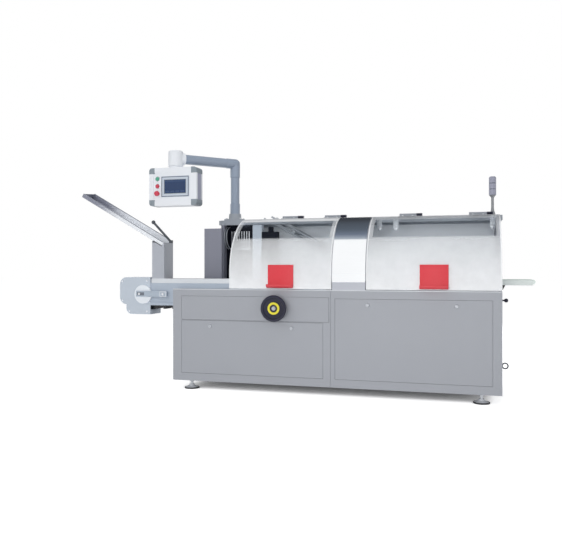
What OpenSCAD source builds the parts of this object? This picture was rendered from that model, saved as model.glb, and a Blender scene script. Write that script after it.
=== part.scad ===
// Horizontal automatic cartoner: a closed drive cabinet, a hood with two lifting clear guards,
// an infeed bucket conveyor with hopper and trough, a swinging operator panel and an outlet belt.
// Working frame: x from the cabinet's left end, y behind its front face, z above the floor, in mm.

/* [Cabinet] */
// Length of the cabinet along the line
cab_l = 2540; // [2400:10:2800]
// Depth of the cabinet, front to rear
cab_d = 900; // [860:10:1000]
// Height of the table face above the floor
table_h = 810; // [780:5:860]
// Clear height under the cabinet
foot_h = 70; // [60:5:100]
// Thickness of the stainless table plate
top_t = 6; // [4:1:10]
// Thickness of a removable cabinet panel
panel_t = 12; // [8:1:20]
// Gap round each removable panel
reveal = 4; // [2:0.5:6]
// Seam between the two front bays, from the left end
bay_x = 1303; // [1280:1:1330]
// Joint between the upper and the lower front panel, below the table face
split_drop = 250; // [235:1:270]
// Diameter of a levelling foot's pad
pad_d = 115; // [90:5:140]

/* [Handwheel] */
// Handwheel centre from the cabinet's left end
wheel_x = 870; // [760:5:940]
// Handwheel centre below the table face
wheel_drop = 144; // [140:1:165]
// Handwheel diameter
wheel_d = 205; // [180:5:220]
// How far the handwheel stands out from the front
wheel_out = 80; // [70:1:100]

/* [Hood] */
// Left end of the hood, from the cabinet's left end
hood_x = 220; // [180:5:260]
// Height of the hood roof above the floor
roof_h = 1395; // [1370:5:1420]
// Radius of the curved guards
guard_r = 464; // [440:2:480]
// Thickness of a guard's clear sheet
guard_t = 8; // [5:1:12]
// Left edge of the left guard
guard_x = 485; // [470:1:520]
// Left edge of the fixed centre cover
centre_x = 1311; // [1290:1:1340]
// Width of the fixed centre cover
centre_w = 258; // [220:2:300]
// Width of a guard handle
handle_w = 205; // [150:5:240]

/* [Infeed] */
// Idler axis of the bucket conveyor, left of the cabinet
idler_out = 308; // [290:2:360]
// Axes of the bucket conveyor below the table face
chain_drop = 52; // [44:1:60]
// Radius of the chain wheels
chain_r = 80; // [70:1:84]
// Pitch of the bucket lugs
lug_pitch = 82; // [70:1:110]
// Height of the hopper above the conveyor's guides
hopper_h = 300; // [260:5:340]
// Slope of the infeed trough
trough_a = 29.7; // [20:0.1:35]
// Length of the infeed trough
trough_l = 872; // [700:2:950]
// Outside width of the infeed trough
trough_w = 162; // [140:2:164]

/* [Operator panel] */
// Arm post from the hood's left end
post_in = 105; // [90:1:160]
// Arm post behind the hood's front edge
post_back = 70; // [65:1:90]
// Height of the arm's tube axis above the hopper, which the panel swings over
arm_over = 707; // [660:1:760]
// Length of the arm from its post to its coupling
arm_l = 560; // [500:5:640]
// Width of the operator panel
hmi_w = 430; // [380:5:460]
// Height of the operator panel
hmi_h = 318; // [280:2:340]
// Depth of the operator panel
hmi_d = 125; // [100:5:150]

/* [Outlet] */
// Length of the outlet belt beyond the cabinet
outlet_l = 256; // [200:2:400]
// Width of the carton lane and the outlet belt
lane_w = 240; // [200:5:260]
// Height of the outlet belt's face above the table
outlet_rise = 78; // [70:1:90]

/* [Hidden] */
$fn = 48;
// Overlap of fused shapes, and reach of a cut past its face
eps = 0.01;
// Running clearance of a pin or shaft, clearance of a seated piece, joint between sheets
run_gap = 0.06;
seat_gap = 0.3;
sheet_gap = 2;
// Colours of the paints, plastics and bare metals
grey = [0.56, 0.58, 0.62];
pale = [0.80, 0.83, 0.86];
steel = [0.78, 0.80, 0.82];
black = [0.06, 0.06, 0.07];
navy = [0.12, 0.13, 0.17];
white = [0.93, 0.93, 0.94];
clear = [0.85, 0.92, 0.95, 0.35];
red = [0.78, 0.10, 0.13];
green = [0.10, 0.62, 0.38];
yellow = [0.93, 0.80, 0.10];
arm_grey = [0.52, 0.55, 0.60];
corner_grey = [0.55, 0.60, 0.62];
bezel_grey = [0.66, 0.72, 0.76];
screen_blue = [0.20, 0.27, 0.40];
tower_grey = [0.62, 0.62, 0.70];
belt_green = [0.72, 0.84, 0.78];
// Cabinet frame: stiles and rails round the panels, given as [left, right, bottom, top]
stile = 75;
right_stile = 64;
seam_stile = 32;
upper_stile = 13;
lower_stile = 59;
top_rail = 56;
right_rail = 65;
foot_rail = 62;
split_z = table_h - split_drop;
upper_panel = [stile, bay_x - upper_stile, split_z + reveal / 2, table_h - top_rail];
lower_panel = [stile, bay_x - lower_stile, foot_h + foot_rail, split_z - reveal / 2];
right_panel = [bay_x + seam_stile, cab_l - right_stile, foot_h + foot_rail, table_h - right_rail];
rear_left_panel = [stile, bay_x - seam_stile, foot_h + foot_rail, table_h - top_rail];
rear_right_panel = [bay_x + seam_stile, cab_l - stile, foot_h + foot_rail, table_h - top_rail];
latch_d = 30;
latch_out = 9;
latch_drop = 46;
latch_in = 248;
foot_in = [140, 62];
// Handwheel
wheel_z = table_h - wheel_drop;
shaft_r = 12.5;
bearing_t = 24;
hub_z = wheel_out - 20;
// Fittings on the cabinet's right end, behind its front face
end_y = 160;
// Hood frame
arc_z = roof_h - guard_r;
guard_flat = 45;
hinge_y = guard_r + guard_flat + 3;
hinge_z = roof_h + 16;
roof_y = guard_r + guard_flat + 6;
roof_t = 12;
under_roof = roof_h - roof_t;
rear_y = cab_d - 20;
wall_t = 12;
wall_y = rear_y - wall_t;
beam = [40, 30];
hood_post = [30, 60];
slot_x = [guard_x + 75, guard_x + 375];
slot_y = [roof_y + 45, roof_y + 245];
// Guards and centre cover
seam = 3;
skirt_z = table_h + 5;
right_x = centre_x + centre_w;
cover_sheet = 4;
centre_base_h = 60;
hinge_r = 9;
hinge_pin_r = 5;
hinge_l = 134;
block_w = 45;
hinge_in = [299, 25, 203, 91];
left_hinges = [hinge_at(guard_x + hinge_in[0]), hinge_at(centre_x - hinge_l - hinge_in[1])];
right_hinges = [hinge_at(right_x + hinge_in[2]), hinge_at(cab_l - hinge_l - hinge_in[3])];
stay = [42, 8, 88];
stay_in = [40, 173, 46];
stay_drop = 12;
stay_eye_r = 11;
handle_h = 180;
handle_t = 5;
handle_lip = 30;
handle_shift = 12;
left_handle_x = (guard_x + centre_x - seam) / 2 + handle_shift;
right_handle_x = (right_x + seam + cab_l) / 2 + handle_shift;
// Leaflet folder: from the hood's left end, behind its front edge and below its roof
housing_in = [-70, 86];
housing_back = [-215, -175];
housing_drop = 83;
folder_in = [65, 258];
folder_back = [85, 285];
folder_drop = 75;
folder_x = [hood_x + folder_in[0], hood_x + folder_in[1]];
folder_block = [hood_x, folder_x[1]];
roller_d = 30;
roller_drop = [145, 215];
comb_back = [51, 60];
comb_drop = [255, 243, 95];
comb_pitch = 23;
comb_w = 8;
// Carton magazine: from the left guard's edge, behind the hood's front edge and below its roof
mast_in = [51, 131];
mast_back = [-75, -15];
mast_drop = 50;
mast_x = [guard_x + mast_in[0], guard_x + mast_in[1]];
mast_y = [roof_y + mast_back[0], roof_y + mast_back[1]];
feeder_l = [140, 154];
feeder_drop = [395, 305, 109];
feeder_lip = 10;
rod_r = 8;
rod_l = [536, 590];
rod_pitch = 150;
rod_back = 65;
rod_in = 649;
rod_drop = 230;
rod_bar = [12, 28];
rod_bar_s = [60, 290];
// Carton lane through the hood
lane_front = 380;
lane_in = 155;
lane_end = 30;
lane_y = [lane_front, lane_front + lane_w];
lane_x = [guard_x + lane_in, cab_l - lane_end];
lane_rail = [20, 60];
lane_bed_h = 20;
// Bucket conveyor
chain_z = table_h - chain_drop;
chain_y = 180;
infeed_w = 180;
plate_t = 4;
side_y = [chain_y - infeed_w / 2, chain_y + infeed_w / 2 - plate_t];
band_t = 12;
lug = [31, 120, 30];
lug_tip = 20;
lug_r = chain_r + band_t + lug.z;
trench_end = 71;
trench_l = centre_x - trench_end;
trench_y = [side_y[0] - 5, side_y[1] + plate_t + 5];
trench_z = chain_z - lug_r - 16;
drive_x = trench_l - lug_r - 13;
guide_rise = [30, 80];
guide_over = 148;
guide_z = [table_h + guide_rise[0], table_h + guide_rise[1]];
plate_over = 88;
plate_drop = 68;
plate_rise = 94;
plate_foot = [40, 60];
plate_foot_in = 60;
cover_t = 6;
cover_over = 221;
cover_lap = 62;
cover_drop = [86, 168];
cover_r = [60, 50];
cover_x = [-idler_out - cover_over, -idler_out + cover_lap];
cover_z = [chain_z - cover_drop[1], guide_z[1] + 10];
disc_t = 14;
// Hopper and trough
hopper_x = [-235, -125];
hopper_y = [side_y[0] + plate_t, side_y[1]];
hopper_top = guide_z[1] + hopper_h;
trough_foot = [hopper_x[0] + 85, hopper_top - 32];
trough_t = 3;
trough_near_h = 35;
trough_far_h = 75;
// Operator panel and its arm
post_x = hood_x + post_in;
post_y = roof_y + post_back;
arm_z = hopper_top + arm_over;
arm_up = arm_z - roof_h;
arm_bore = 34;
arm_r = 43;
tube_r = 38.5;
elbow = 85;
arm_dir = 47;
base_h = 60;
coupling_r = 63;
coupling_z = [arm_z - 66, arm_z + 65];
hmi_z = coupling_z[0] - 16;
hmi_x = post_x - arm_l * cos(arm_dir);
hmi_y = post_y - arm_l * sin(arm_dir);
cap = 50;
swivel_r = 20;
face_in = 4;
bezel = [250, 172];
bezel_t = 6;
bezel_x = 22;
screen = [188, 108];
// Controls as turned profiles, and their column from the panel's left edge
button = [[0, 0], [17, 0], [17, 4], [14, 5], [14, 11], [12, 13], [0, 13]];
mushroom = [[0, 0], [18, 0], [18, 6], [12, 7], [12, 14], [21, 16], [22, 20], [20, 25], [12, 28], [0, 29]];
controls_x = 76;
// Outlet belt
outlet_z = table_h + outlet_rise;
belt_t = 3;
belt_in = 20;
roller_r = 14;
outlet_rail = [12, 40, 2];
gusset = [40, 40];
bed_t = 8;
bed_in = 30;
// The origin: the middle of the whole machine's box, on the floor
x_low = trough_foot.x - trough_l * cos(trough_a);
x_high = cab_l + outlet_l;
y_low = -wheel_out;
y_high = cab_d + latch_out;
origin = [(x_low + x_high) / 2, (y_low + y_high) / 2, 0];
belt_x = [cab_l + belt_in, x_high - roller_r - belt_t];
belt_z = outlet_z - roller_r - belt_t;

function hinge_at(x) = [x, x + hinge_l];

// Everything is drawn in the working frame and set over the origin.
module place() { translate(-origin) children(); }

module box(x, y, z) { translate([x[0], y[0], z[0]]) cube([x[1] - x[0], y[1] - y[0], z[1] - z[0]]); }

// A rod along y from its front end.
module rod_y(x, z, r, y) { translate([x, y[0], z]) rotate([-90, 0, 0]) cylinder(r = r, h = y[1] - y[0]); }

// An outline in (y, z) drawn out along x.
module along_x(x) {
    translate([x[0], 0, 0]) rotate([90, 0, 90]) linear_extrude(x[1] - x[0]) children();
}

// An outline in (x, z) drawn out along y.
module along_y(y) {
    translate([0, y[1], 0]) rotate([90, 0, 0]) linear_extrude(y[1] - y[0]) children();
}

module rounded_rect(size, r) {
    translate([0, r]) square([size.x, size.y - 2 * r]);
    translate([r, 0]) square([size.x - 2 * r, size.y]);
    for (x = [r, size.x - r], y = [r, size.y - r]) translate([x, y]) circle(r);
}

// Cabinet

module panel_at(p, depth, gap) { box([p[0] + gap, p[1] - gap], depth, [p[2] + gap, p[3] - gap]); }

module cabinet_body() {
    rear = [cab_d - panel_t, cab_d + eps];
    front = [-eps, panel_t];
    color(grey) place() difference() {
        box([0, cab_l], [0, cab_d], [foot_h, table_h - top_t]);
        for (p = [upper_panel, lower_panel, right_panel]) panel_at(p, front, 0);
        for (p = [rear_left_panel, rear_right_panel]) panel_at(p, rear, 0);
        box([bay_x - reveal / 2, bay_x + reveal / 2], [-eps, reveal], [foot_h - eps, table_h - top_t + eps]);
        box([-eps, trench_l], trench_y, [trench_z, table_h]);
    }
}

module table_top() {
    color(steel) place() difference() {
        box([0, cab_l], [0, cab_d], [table_h - top_t, table_h]);
        box([-eps, trench_l], trench_y, [table_h - top_t - eps, table_h + eps]);
    }
}

module front_panel(p) { color(grey) place() panel_at(p, [0, panel_t], reveal / 2); }
module upper_front_panel() { front_panel(upper_panel); }
module lower_front_panel() { front_panel(lower_panel); }
module right_front_panel() { front_panel(right_panel); }
module rear_panels() {
    color(grey) place() for (p = [rear_left_panel, rear_right_panel])
        panel_at(p, [cab_d - panel_t, cab_d], reveal / 2);
}

// A quarter-turn latch: a round cap with a key slot.
module latch() {
    taper = 6;
    slot = [4, 3, 18];
    difference() {
        rotate([90, 0, 0]) cylinder(d1 = latch_d, d2 = latch_d - taper, h = latch_out);
        translate([-slot.x / 2, -latch_out - eps, -slot.z / 2]) cube(slot);
    }
}

module panel_latches() {
    color(steel) place() {
        for (p = [lower_panel, right_panel], x = [p[0] + latch_in, p[1] - latch_in])
            translate([x, 0, p[3] - latch_drop]) latch();
        for (p = [rear_left_panel, rear_right_panel], x = [p[0] + latch_in, p[1] - latch_in])
            translate([x, cab_d, p[3] - latch_drop]) rotate([0, 0, 180]) latch();
    }
}

// A levelling foot: a dished pad, a threaded stem and a lock nut under the cabinet.
module foot() {
    pad_r = pad_d / 2;
    pad = [8, 14, 22, 34];
    neck = [26, 20];
    stem_r = 12;
    nut = [40, 14];
    rotate_extrude() polygon([[0, 0], [pad_r, 0], [pad_r, pad[0]], [pad_r - stem_r, pad[1]],
        [neck[0], pad[2]], [neck[1], pad[3]], [0, pad[3]]]);
    cylinder(r = stem_r, h = foot_h);
    translate([0, 0, foot_h - nut[1]]) cylinder(d = nut[0], h = nut[1], $fn = 6);
}

module levelling_feet() {
    color(steel) place() for (x = [foot_in.x, cab_l - foot_in.x], y = [foot_in.y, cab_d - foot_in.y])
        translate([x, y, 0]) foot();
}

// Handwheel

module at_wheel() { place() translate([wheel_x, 0, wheel_z]) rotate([90, 0, 0]) children(); }

module wheel_bearing() {
    flange = [96, 8];
    boss_d = 56;
    color(steel) at_wheel() difference() {
        union() {
            cylinder(d = flange[0], h = flange[1]);
            cylinder(d = boss_d, h = bearing_t);
        }
        translate([0, 0, -eps]) cylinder(r = shaft_r + run_gap, h = bearing_t + 2 * eps);
    }
}

// The wheel is a dished disc with a round rim, turned with its shaft and hub.
module handwheel() {
    rim_r = 13;
    rim_c = wheel_d / 2 - rim_r;
    rim_z = wheel_out - rim_r;
    web = 6;
    neck = [32, 36];
    face_r = 50;
    color(black) at_wheel() rotate_extrude() {
        translate([rim_c, rim_z]) circle(rim_r);
        polygon([[0, 1], [shaft_r, 1], [shaft_r, bearing_t + web], [neck[0], bearing_t + 10],
            [neck[1], hub_z - 14], [rim_c, rim_z - web], [rim_c, rim_z + web], [face_r, hub_z], [0, hub_z]]);
    }
}

module handwheel_ring() {
    ring = [28, 47, 6];
    color(yellow) at_wheel() translate([0, 0, hub_z]) difference() {
        cylinder(r = ring[1], h = ring[2]);
        translate([0, 0, -eps]) cylinder(r = ring[0], h = ring[2] + 2 * eps);
    }
}

module handwheel_hub() {
    washer = [16, 3];
    nut = [11, 12];
    color(steel) at_wheel() translate([0, 0, hub_z]) rotate_extrude()
        polygon([[0, 0], [washer[0], 0], [washer[0], washer[1]], [nut[0], washer[1]], [nut[0], nut[1] - 2],
            [nut[0] - 2, nut[1]], [0, nut[1]]]);
}

// Right end fittings

module end_knob() {
    stem = [12, 30];
    knob_d = 30;
    color(black) place() translate([cab_l, end_y, table_h - 70]) rotate([0, 90, 0]) {
        cylinder(d = stem[0], h = stem[1]);
        translate([0, 0, stem[1] + 4]) sphere(d = knob_d);
    }
}

module end_ring() {
    plate = [40, 5];
    ring_r = 20;
    wire_r = 5;
    color(steel) place() translate([cab_l, end_y, foot_h + 192]) {
        rotate([0, 90, 0]) cylinder(d = plate[0], h = plate[1]);
        translate([ring_r + wire_r + 2, 0, 0]) rotate([90, 0, 0])
            rotate_extrude() translate([ring_r, 0]) circle(wire_r);
    }
}

// Hood

// Roof sheets left and right of the magazine slot, with a strip before and behind it.
module hood_roof() {
    z = [under_roof, roof_h];
    strip_x = [slot_x[0] + sheet_gap, slot_x[1] - sheet_gap];
    color(grey) place() {
        box([hood_x, slot_x[0]], [roof_y, rear_y], z);
        box([slot_x[1], cab_l], [roof_y, rear_y], z);
        box(strip_x, [roof_y, slot_y[0]], z);
        box(strip_x, [slot_y[1], rear_y], z);
    }
}

module hood_rear_wall() {
    color(grey) place() box([hood_x, cab_l], [wall_y, rear_y], [table_h, under_roof]);
}

module hood_beams() {
    color(grey) place() for (y = [roof_y, wall_y - beam[0]])
        box([hood_x, cab_l], [y, y + beam[0]], [under_roof - beam[1], under_roof]);
}

module hood_left_post() {
    color(grey) place() box([hood_x, hood_x + hood_post[0]], [roof_y, roof_y + hood_post[1]],
        [table_h, under_roof - beam[1]]);
}

// The guards' outline in (y, z), set in from the outer face by a given amount.
module guard_outline(inset, foot) {
    r = guard_r - inset;
    spring_z = max(arc_z, foot);
    translate([guard_r, arc_z]) intersection() {
        circle(r, $fn = 96);
        translate([-guard_r, spring_z - arc_z]) square(guard_r);
    }
    if (arc_z > foot) translate([inset, foot]) square([guard_r - inset, arc_z - foot + eps]);
}

// The sheet of a guard or cover: a skirt, a quarter round and a flat that ends before the roof.
module curved_sheet(x, t, foot, back) {
    along_x(x) {
        difference() {
            guard_outline(0, foot);
            guard_outline(t, foot - 1);
        }
        translate([guard_r - eps, roof_h - t]) square([back - guard_r + eps, t]);
    }
}

// A sheet wall under the guard at the outlet end, with a gate for the cartons.
module hood_right_end() {
    wall_x = [cab_l - 20, cab_l - 10];
    gate_y = [lane_y[0] - 25, lane_y[1] + 25];
    gate_h = 220;
    inset = guard_t + 6;
    color(grey) place() along_x(wall_x) difference() {
        union() {
            intersection() {
                guard_outline(inset, table_h);
                square([roof_y, roof_h - inset]);
            }
            translate([guard_r - eps, table_h]) square([wall_y - guard_r + eps, roof_h - inset - table_h]);
            translate([roof_y, table_h]) square([wall_y - roof_y, under_roof - table_h]);
        }
        translate([gate_y[0], table_h - 1]) square([gate_y[1] - gate_y[0], gate_h + 1]);
        for (y = [roof_y, wall_y - beam[0]]) translate([y, under_roof - beam[1]])
            square([beam[0] + eps, beam[1] + 1]);
    }
}

module centre_cover() {
    color(steel) place()
        curved_sheet([centre_x + seam, right_x - seam], cover_sheet, table_h + centre_base_h, roof_y);
}

module centre_base() {
    depth = 120;
    color(grey) place()
        box([centre_x + seam, right_x - seam], [0, depth], [table_h, table_h + centre_base_h]);
}

// Bearing blocks on the roof, each with the pin its guard turns on.
module hinge_blocks() {
    boss_r = 10;
    block_d = 30;
    pin_in = 2;
    color(black) place() for (h = concat(left_hinges, right_hinges)) {
        x = [h[1] + 1, h[1] + 1 + block_w];
        box(x, [roof_y, roof_y + block_d], [roof_h, hinge_z + boss_r]);
        box(x, [hinge_y, roof_y + eps], [hinge_z - boss_r, hinge_z + boss_r]);
        translate([x[0], hinge_y, hinge_z]) rotate([0, 90, 0]) cylinder(r = boss_r, h = block_w);
        translate([h[0] + pin_in, hinge_y, hinge_z]) rotate([0, 90, 0])
            cylinder(r = hinge_pin_r, h = hinge_l);
    }
}

// Round-ended plates under the front beam, each with a hole for a guard's stay.
module stay_brackets() {
    r = stay.x / 2;
    foot = under_roof - stay_drop - stay.z;
    color(steel) place() for (x = [right_x + stay_in[0], right_x + stay_in[1], cab_l - stay_in[2]])
        along_y([roof_y - stay.y, roof_y]) translate([x, foot + r]) difference() {
            union() {
                circle(r);
                translate([-r, 0]) square([stay.x, stay.z - r]);
            }
            circle(stay_eye_r);
        }
}

// The knuckles of a guard's hinges, each with the leaf that clamps the sheet.
module guard_hinges(hinges) {
    leaf_t = 4;
    leaf = [guard_r - 5, guard_r + guard_flat];
    color(grey) place() for (h = hinges) difference() {
        union() {
            translate([h[0], hinge_y, hinge_z]) rotate([0, 90, 0]) cylinder(r = hinge_r, h = hinge_l);
            box(h, leaf, [roof_h, roof_h + leaf_t]);
            box(h, [hinge_y - hinge_r, leaf[1]], [roof_h, hinge_z]);
        }
        translate([h[0] - 1, hinge_y, hinge_z]) rotate([0, 90, 0])
            cylinder(r = hinge_pin_r + run_gap, h = hinge_l + 2);
    }
}

// A moulded pull: a plate on the skirt that rolls out into a finger lip at its foot.
module guard_handle(x) {
    lip_z = skirt_z + 7 + handle_lip;
    plate_h = handle_h - handle_lip;
    color(red) place() along_x([x - handle_w / 2, x + handle_w / 2]) translate([-handle_lip, lip_z]) {
        translate([handle_lip - handle_t, 0]) square([handle_t, plate_h]);
        difference() {
            circle(handle_lip);
            circle(handle_lip - handle_t);
            translate([-handle_lip, 0]) square(2 * handle_lip);
        }
    }
}

module left_guard() {
    color(clear) place() curved_sheet([guard_x, centre_x - seam], guard_t, skirt_z, guard_r + guard_flat);
}
module left_guard_hinges() { guard_hinges(left_hinges); }
module left_guard_handle() { guard_handle(left_handle_x); }
module right_guard() {
    color(clear) place() curved_sheet([right_x + seam, cab_l], guard_t, skirt_z, guard_r + guard_flat);
}
module right_guard_hinges() { guard_hinges(right_hinges); }
module right_guard_handle() { guard_handle(right_handle_x); }

// Leaflet folder, carton magazine and carton lane inside the hood

module folder_housing() {
    x = [hood_x + housing_in[0], hood_x + housing_in[1]];
    y = [roof_y + housing_back[0], roof_y + housing_back[1]];
    color(grey) place() box(x, y, [table_h, roof_h - housing_drop]);
}

module leaflet_folder() {
    y = [roof_y + folder_back[0], roof_y + folder_back[1]];
    roller_y = y[0] - roller_d / 3;
    color(black) place() {
        box(folder_block, y, [table_h, roof_h - folder_drop]);
        for (drop = roller_drop) translate([folder_x[0], roller_y, roof_h - drop]) rotate([0, 90, 0])
            cylinder(d = roller_d, h = folder_x[1] - folder_x[0]);
    }
}

// A comb of stripper fingers on a bar in front of the folding rollers.
module folder_fingers() {
    count = floor((folder_x[1] - folder_x[0]) / comb_pitch);
    start = (folder_x[0] + folder_x[1] - (count - 1) * comb_pitch - comb_w) / 2;
    y = [roof_y + comb_back[0], roof_y + comb_back[1]];
    z = [for (drop = comb_drop) roof_h - drop];
    color(steel) place() {
        for (i = [0 : count - 1]) translate([start + i * comb_pitch, 0, 0])
            box([0, comb_w], y, [z[1] - eps, z[2]]);
        box(folder_x, [y[0], roof_y + folder_back[0]], [z[0], z[1]]);
    }
}

module magazine_post() {
    color(pale) place() box(mast_x, mast_y, [table_h, roof_h - mast_drop]);
}

// Four sloping guide rods for the blanks, lying on two bars from the rear wall.
module carton_magazine() {
    slope = 28.8;
    rows = [for (i = [0, 1]) roof_y + rod_back + rod_pitch * i];
    bar_z = [-rod_r - seat_gap - rod_bar[1], -rod_r - seat_gap];
    levels = [0, bar_z[0] - seat_gap - rod_r];
    color(steel) place() translate([guard_x + rod_in, 0, roof_h - rod_drop]) rotate([0, slope, 0]) {
        for (y = rows, i = [0, 1]) translate([-rod_l[i], y, levels[i]]) rotate([0, 90, 0])
            cylinder(r = rod_r, h = rod_l[i]);
        for (s = rod_bar_s)
            box([-s - rod_bar[0] / 2, -s + rod_bar[0] / 2], [rows[0] - 2 * rod_r, wall_y], bar_z);
    }
}

module carton_feeder() {
    z = [for (drop = feeder_drop) roof_h - drop];
    color(navy) place() {
        box([mast_x[1], mast_x[1] + feeder_l[0]], mast_y, [z[0], z[2]]);
        box([mast_x[1], mast_x[1] + feeder_l[1]], [mast_y[0] - feeder_lip, mast_y[1]], [z[0], z[1]]);
    }
}

// The lane's bed between two rails, all standing on the table.
module carton_lane() {
    t = lane_rail[0];
    bed_y = [lane_y[0] + t + sheet_gap, lane_y[1] - t - sheet_gap];
    color(steel) place() {
        box(lane_x, bed_y, [table_h, table_h + lane_bed_h]);
        for (y = [lane_y[0], lane_y[1] - t]) box(lane_x, [y, y + t], [table_h, table_h + lane_rail[1]]);
    }
}

// Infeed bucket conveyor

module conveyor_plates() {
    plate_x = [-idler_out - plate_over, trench_l];
    plate_z = [chain_z - plate_drop, chain_z + plate_rise];
    half = plate_foot[0] / 2;
    foot_z = [chain_z - plate_foot[1], chain_z];
    color(pale) place() {
        for (y = side_y) box(plate_x, [y, y + plate_t], plate_z);
        for (x = [plate_foot_in, trench_l / 2, trench_l - plate_foot_in]) {
            box([x - half, x + half], [trench_y[0], side_y[0] + eps], foot_z);
            box([x - half, x + half], [side_y[1] + plate_t - eps, trench_y[1]], foot_z);
        }
    }
}

module chain_wheels() {
    wheel_t = 30;
    axle_r = 14;
    color(white) place() for (x = [-idler_out, drive_x]) {
        rod_y(x, chain_z, chain_r, [chain_y - wheel_t / 2, chain_y + wheel_t / 2]);
        rod_y(x, chain_z, axle_r, [side_y[0] + plate_t, side_y[1]]);
    }
}

// The loop's outline in (x, z) at a distance from the wheels' rims.
module loop_outline(out) {
    r = chain_r + out;
    for (x = [-idler_out, drive_x]) translate([x, chain_z]) circle(r, $fn = 96);
    translate([-idler_out, chain_z - r]) square([drive_x + idler_out, 2 * r]);
}

module bucket_chain() {
    band_w = 40;
    color(black) place() along_y([chain_y - band_w / 2, chain_y + band_w / 2]) difference() {
        loop_outline(band_t);
        loop_outline(0);
    }
}

// One bucket wall standing on the chain, tapered to its tip.
module bucket_lug() {
    rotate([90, 0, 0]) linear_extrude(lug.y, center = true)
        polygon([[-lug.x / 2, 0], [lug.x / 2, 0], [lug_tip / 2, lug.z], [-lug_tip / 2, lug.z]]);
}

// Lugs along both runs, and round each wheel between the runs.
module bucket_lugs() {
    run = drive_x + idler_out;
    count = floor(run / lug_pitch);
    start = -idler_out + (run - count * lug_pitch) / 2;
    seat = chain_r + band_t + seat_gap;
    color(black) place() {
        for (i = [0 : count], turn = [0, 180])
            translate([start + i * lug_pitch, chain_y, chain_z]) rotate([0, turn, 0])
                translate([0, 0, seat]) bucket_lug();
        for (end = [[-idler_out, -1], [drive_x, 1]], i = [1 : 3])
            translate([end[0], chain_y, chain_z]) rotate([0, end[1] * 45 * i, 0])
                translate([0, 0, seat]) bucket_lug();
    }
}

module conveyor_guides() {
    guide_w = 18;
    guide_x = [-idler_out - guide_over, trench_l];
    color(steel) place() for (y = [side_y[0] + plate_t, side_y[1] - guide_w])
        box(guide_x, [y, y + guide_w], guide_z);
}

// The rounded hood over the idler end: a shell open towards the cabinet.
module cover_outline(inset) {
    upper = [cover_x[0] + inset, chain_z - cover_drop[0] + inset];
    lower = [cover_x[0] + cover_r[0] + inset, cover_z[0] + inset];
    upper_size = [cover_x[1] - upper.x + cover_r[0], cover_z[1] - inset - upper.y];
    lower_size = [cover_x[1] - lower.x + cover_r[0], chain_z - lower.y];
    intersection() {
        union() {
            translate(upper) rounded_rect(upper_size, cover_r[0] - inset);
            translate(lower) rounded_rect(lower_size, cover_r[1] - inset);
        }
        translate([cover_x[0], 0]) square([cover_x[1] - cover_x[0], cover_z[1] + 1]);
    }
}

module conveyor_end_cover() {
    outer = [side_y[0] - cover_t, side_y[1] + plate_t + cover_t];
    mouth_z = [cover_z[0] + cover_t, cover_z[1] - cover_t];
    color(pale) place() difference() {
        along_y(outer) cover_outline(0);
        along_y([side_y[0], side_y[1] + plate_t]) {
            cover_outline(cover_t);
            translate([cover_x[1] - 10, mouth_z[0]]) square([20, mouth_z[1] - mouth_z[0]]);
        }
    }
}

module idler_disc() {
    front = side_y[0] - cover_t;
    color(white) place() rod_y(-idler_out, chain_z, chain_r - 2, [front - disc_t, front]);
}

// The take-up bar across the idler's disc, held off the side plate by a block.
module take_up_bar() {
    front = side_y[0] - cover_t - disc_t;
    bar_x = [-idler_out - 58, -86];
    bar = [10, 24];
    block = [40, 18];
    color(steel) place() {
        box(bar_x, [front - bar[0], front], [chain_z + 5 - bar[1], chain_z + 5 + bar[1]]);
        box([bar_x[1] - block[0] - 4, bar_x[1] - 4], [front - eps, side_y[0]],
            [chain_z + 5 - block[1], chain_z + 5 + block[1]]);
    }
}

// The trough's own frame: x up the slope towards the hopper, z square to its floor.
module trough_frame() {
    translate([trough_foot.x, chain_y, trough_foot.y]) rotate([0, trough_a, 0]) children();
}

module hopper() {
    wall = 3;
    back_h = 40;
    color(pale) place() difference() {
        union() {
            difference() {
                box(hopper_x, hopper_y, [guide_z[1], hopper_top]);
                box([hopper_x[0] + wall, hopper_x[1] - wall], [hopper_y[0] + wall, hopper_y[1] - wall],
                    [guide_z[1] - 1, hopper_top + 1]);
            }
            box([hopper_x[0], hopper_x[0] + wall], hopper_y, [hopper_top - 1, hopper_top + back_h]);
        }
        trough_frame() translate([-trough_l, -infeed_w / 2, 0]) cube([trough_l, infeed_w, trough_far_h + 25]);
    }
}

module infeed_trough() {
    w = trough_w / 2;
    color(steel) place() trough_frame() translate([-trough_l, 0, 0]) {
        translate([0, -w, 0]) cube([trough_l, trough_w, trough_t]);
        translate([0, -w, 0]) cube([trough_l, trough_t, trough_near_h]);
        translate([0, w - trough_t, 0]) cube([trough_l, trough_t, trough_far_h]);
    }
}

module trough_lever() {
    foot = [hopper_x[1] - 2, chain_y + 50, hopper_top + 10];
    lug_size = [24, 30, 24];
    rod = [10, 240, 44];
    knob_r = 17;
    color(black) place() {
        translate([foot.x - lug_size.x / 2, foot.y - lug_size.y / 2, hopper_top]) cube(lug_size);
        translate(foot) rotate([0, -rod[2], 0]) {
            cylinder(r = rod[0], h = rod[1]);
            translate([0, 0, rod[1] - 4]) sphere(r = knob_r);
        }
    }
}

// Operator panel and its arm

module arm_base() {
    flange = [160, 120, 14];
    cone = [116, 105];
    floor_t = 20;
    color(grey) place() translate([post_x, post_y, roof_h]) difference() {
        union() {
            translate([-flange.x / 2, -flange.y / 2, 0]) cube(flange);
            cylinder(d1 = cone[0], d2 = cone[1], h = base_h);
        }
        translate([0, 0, floor_t]) cylinder(r = arm_bore + run_gap, h = base_h);
    }
}

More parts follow.
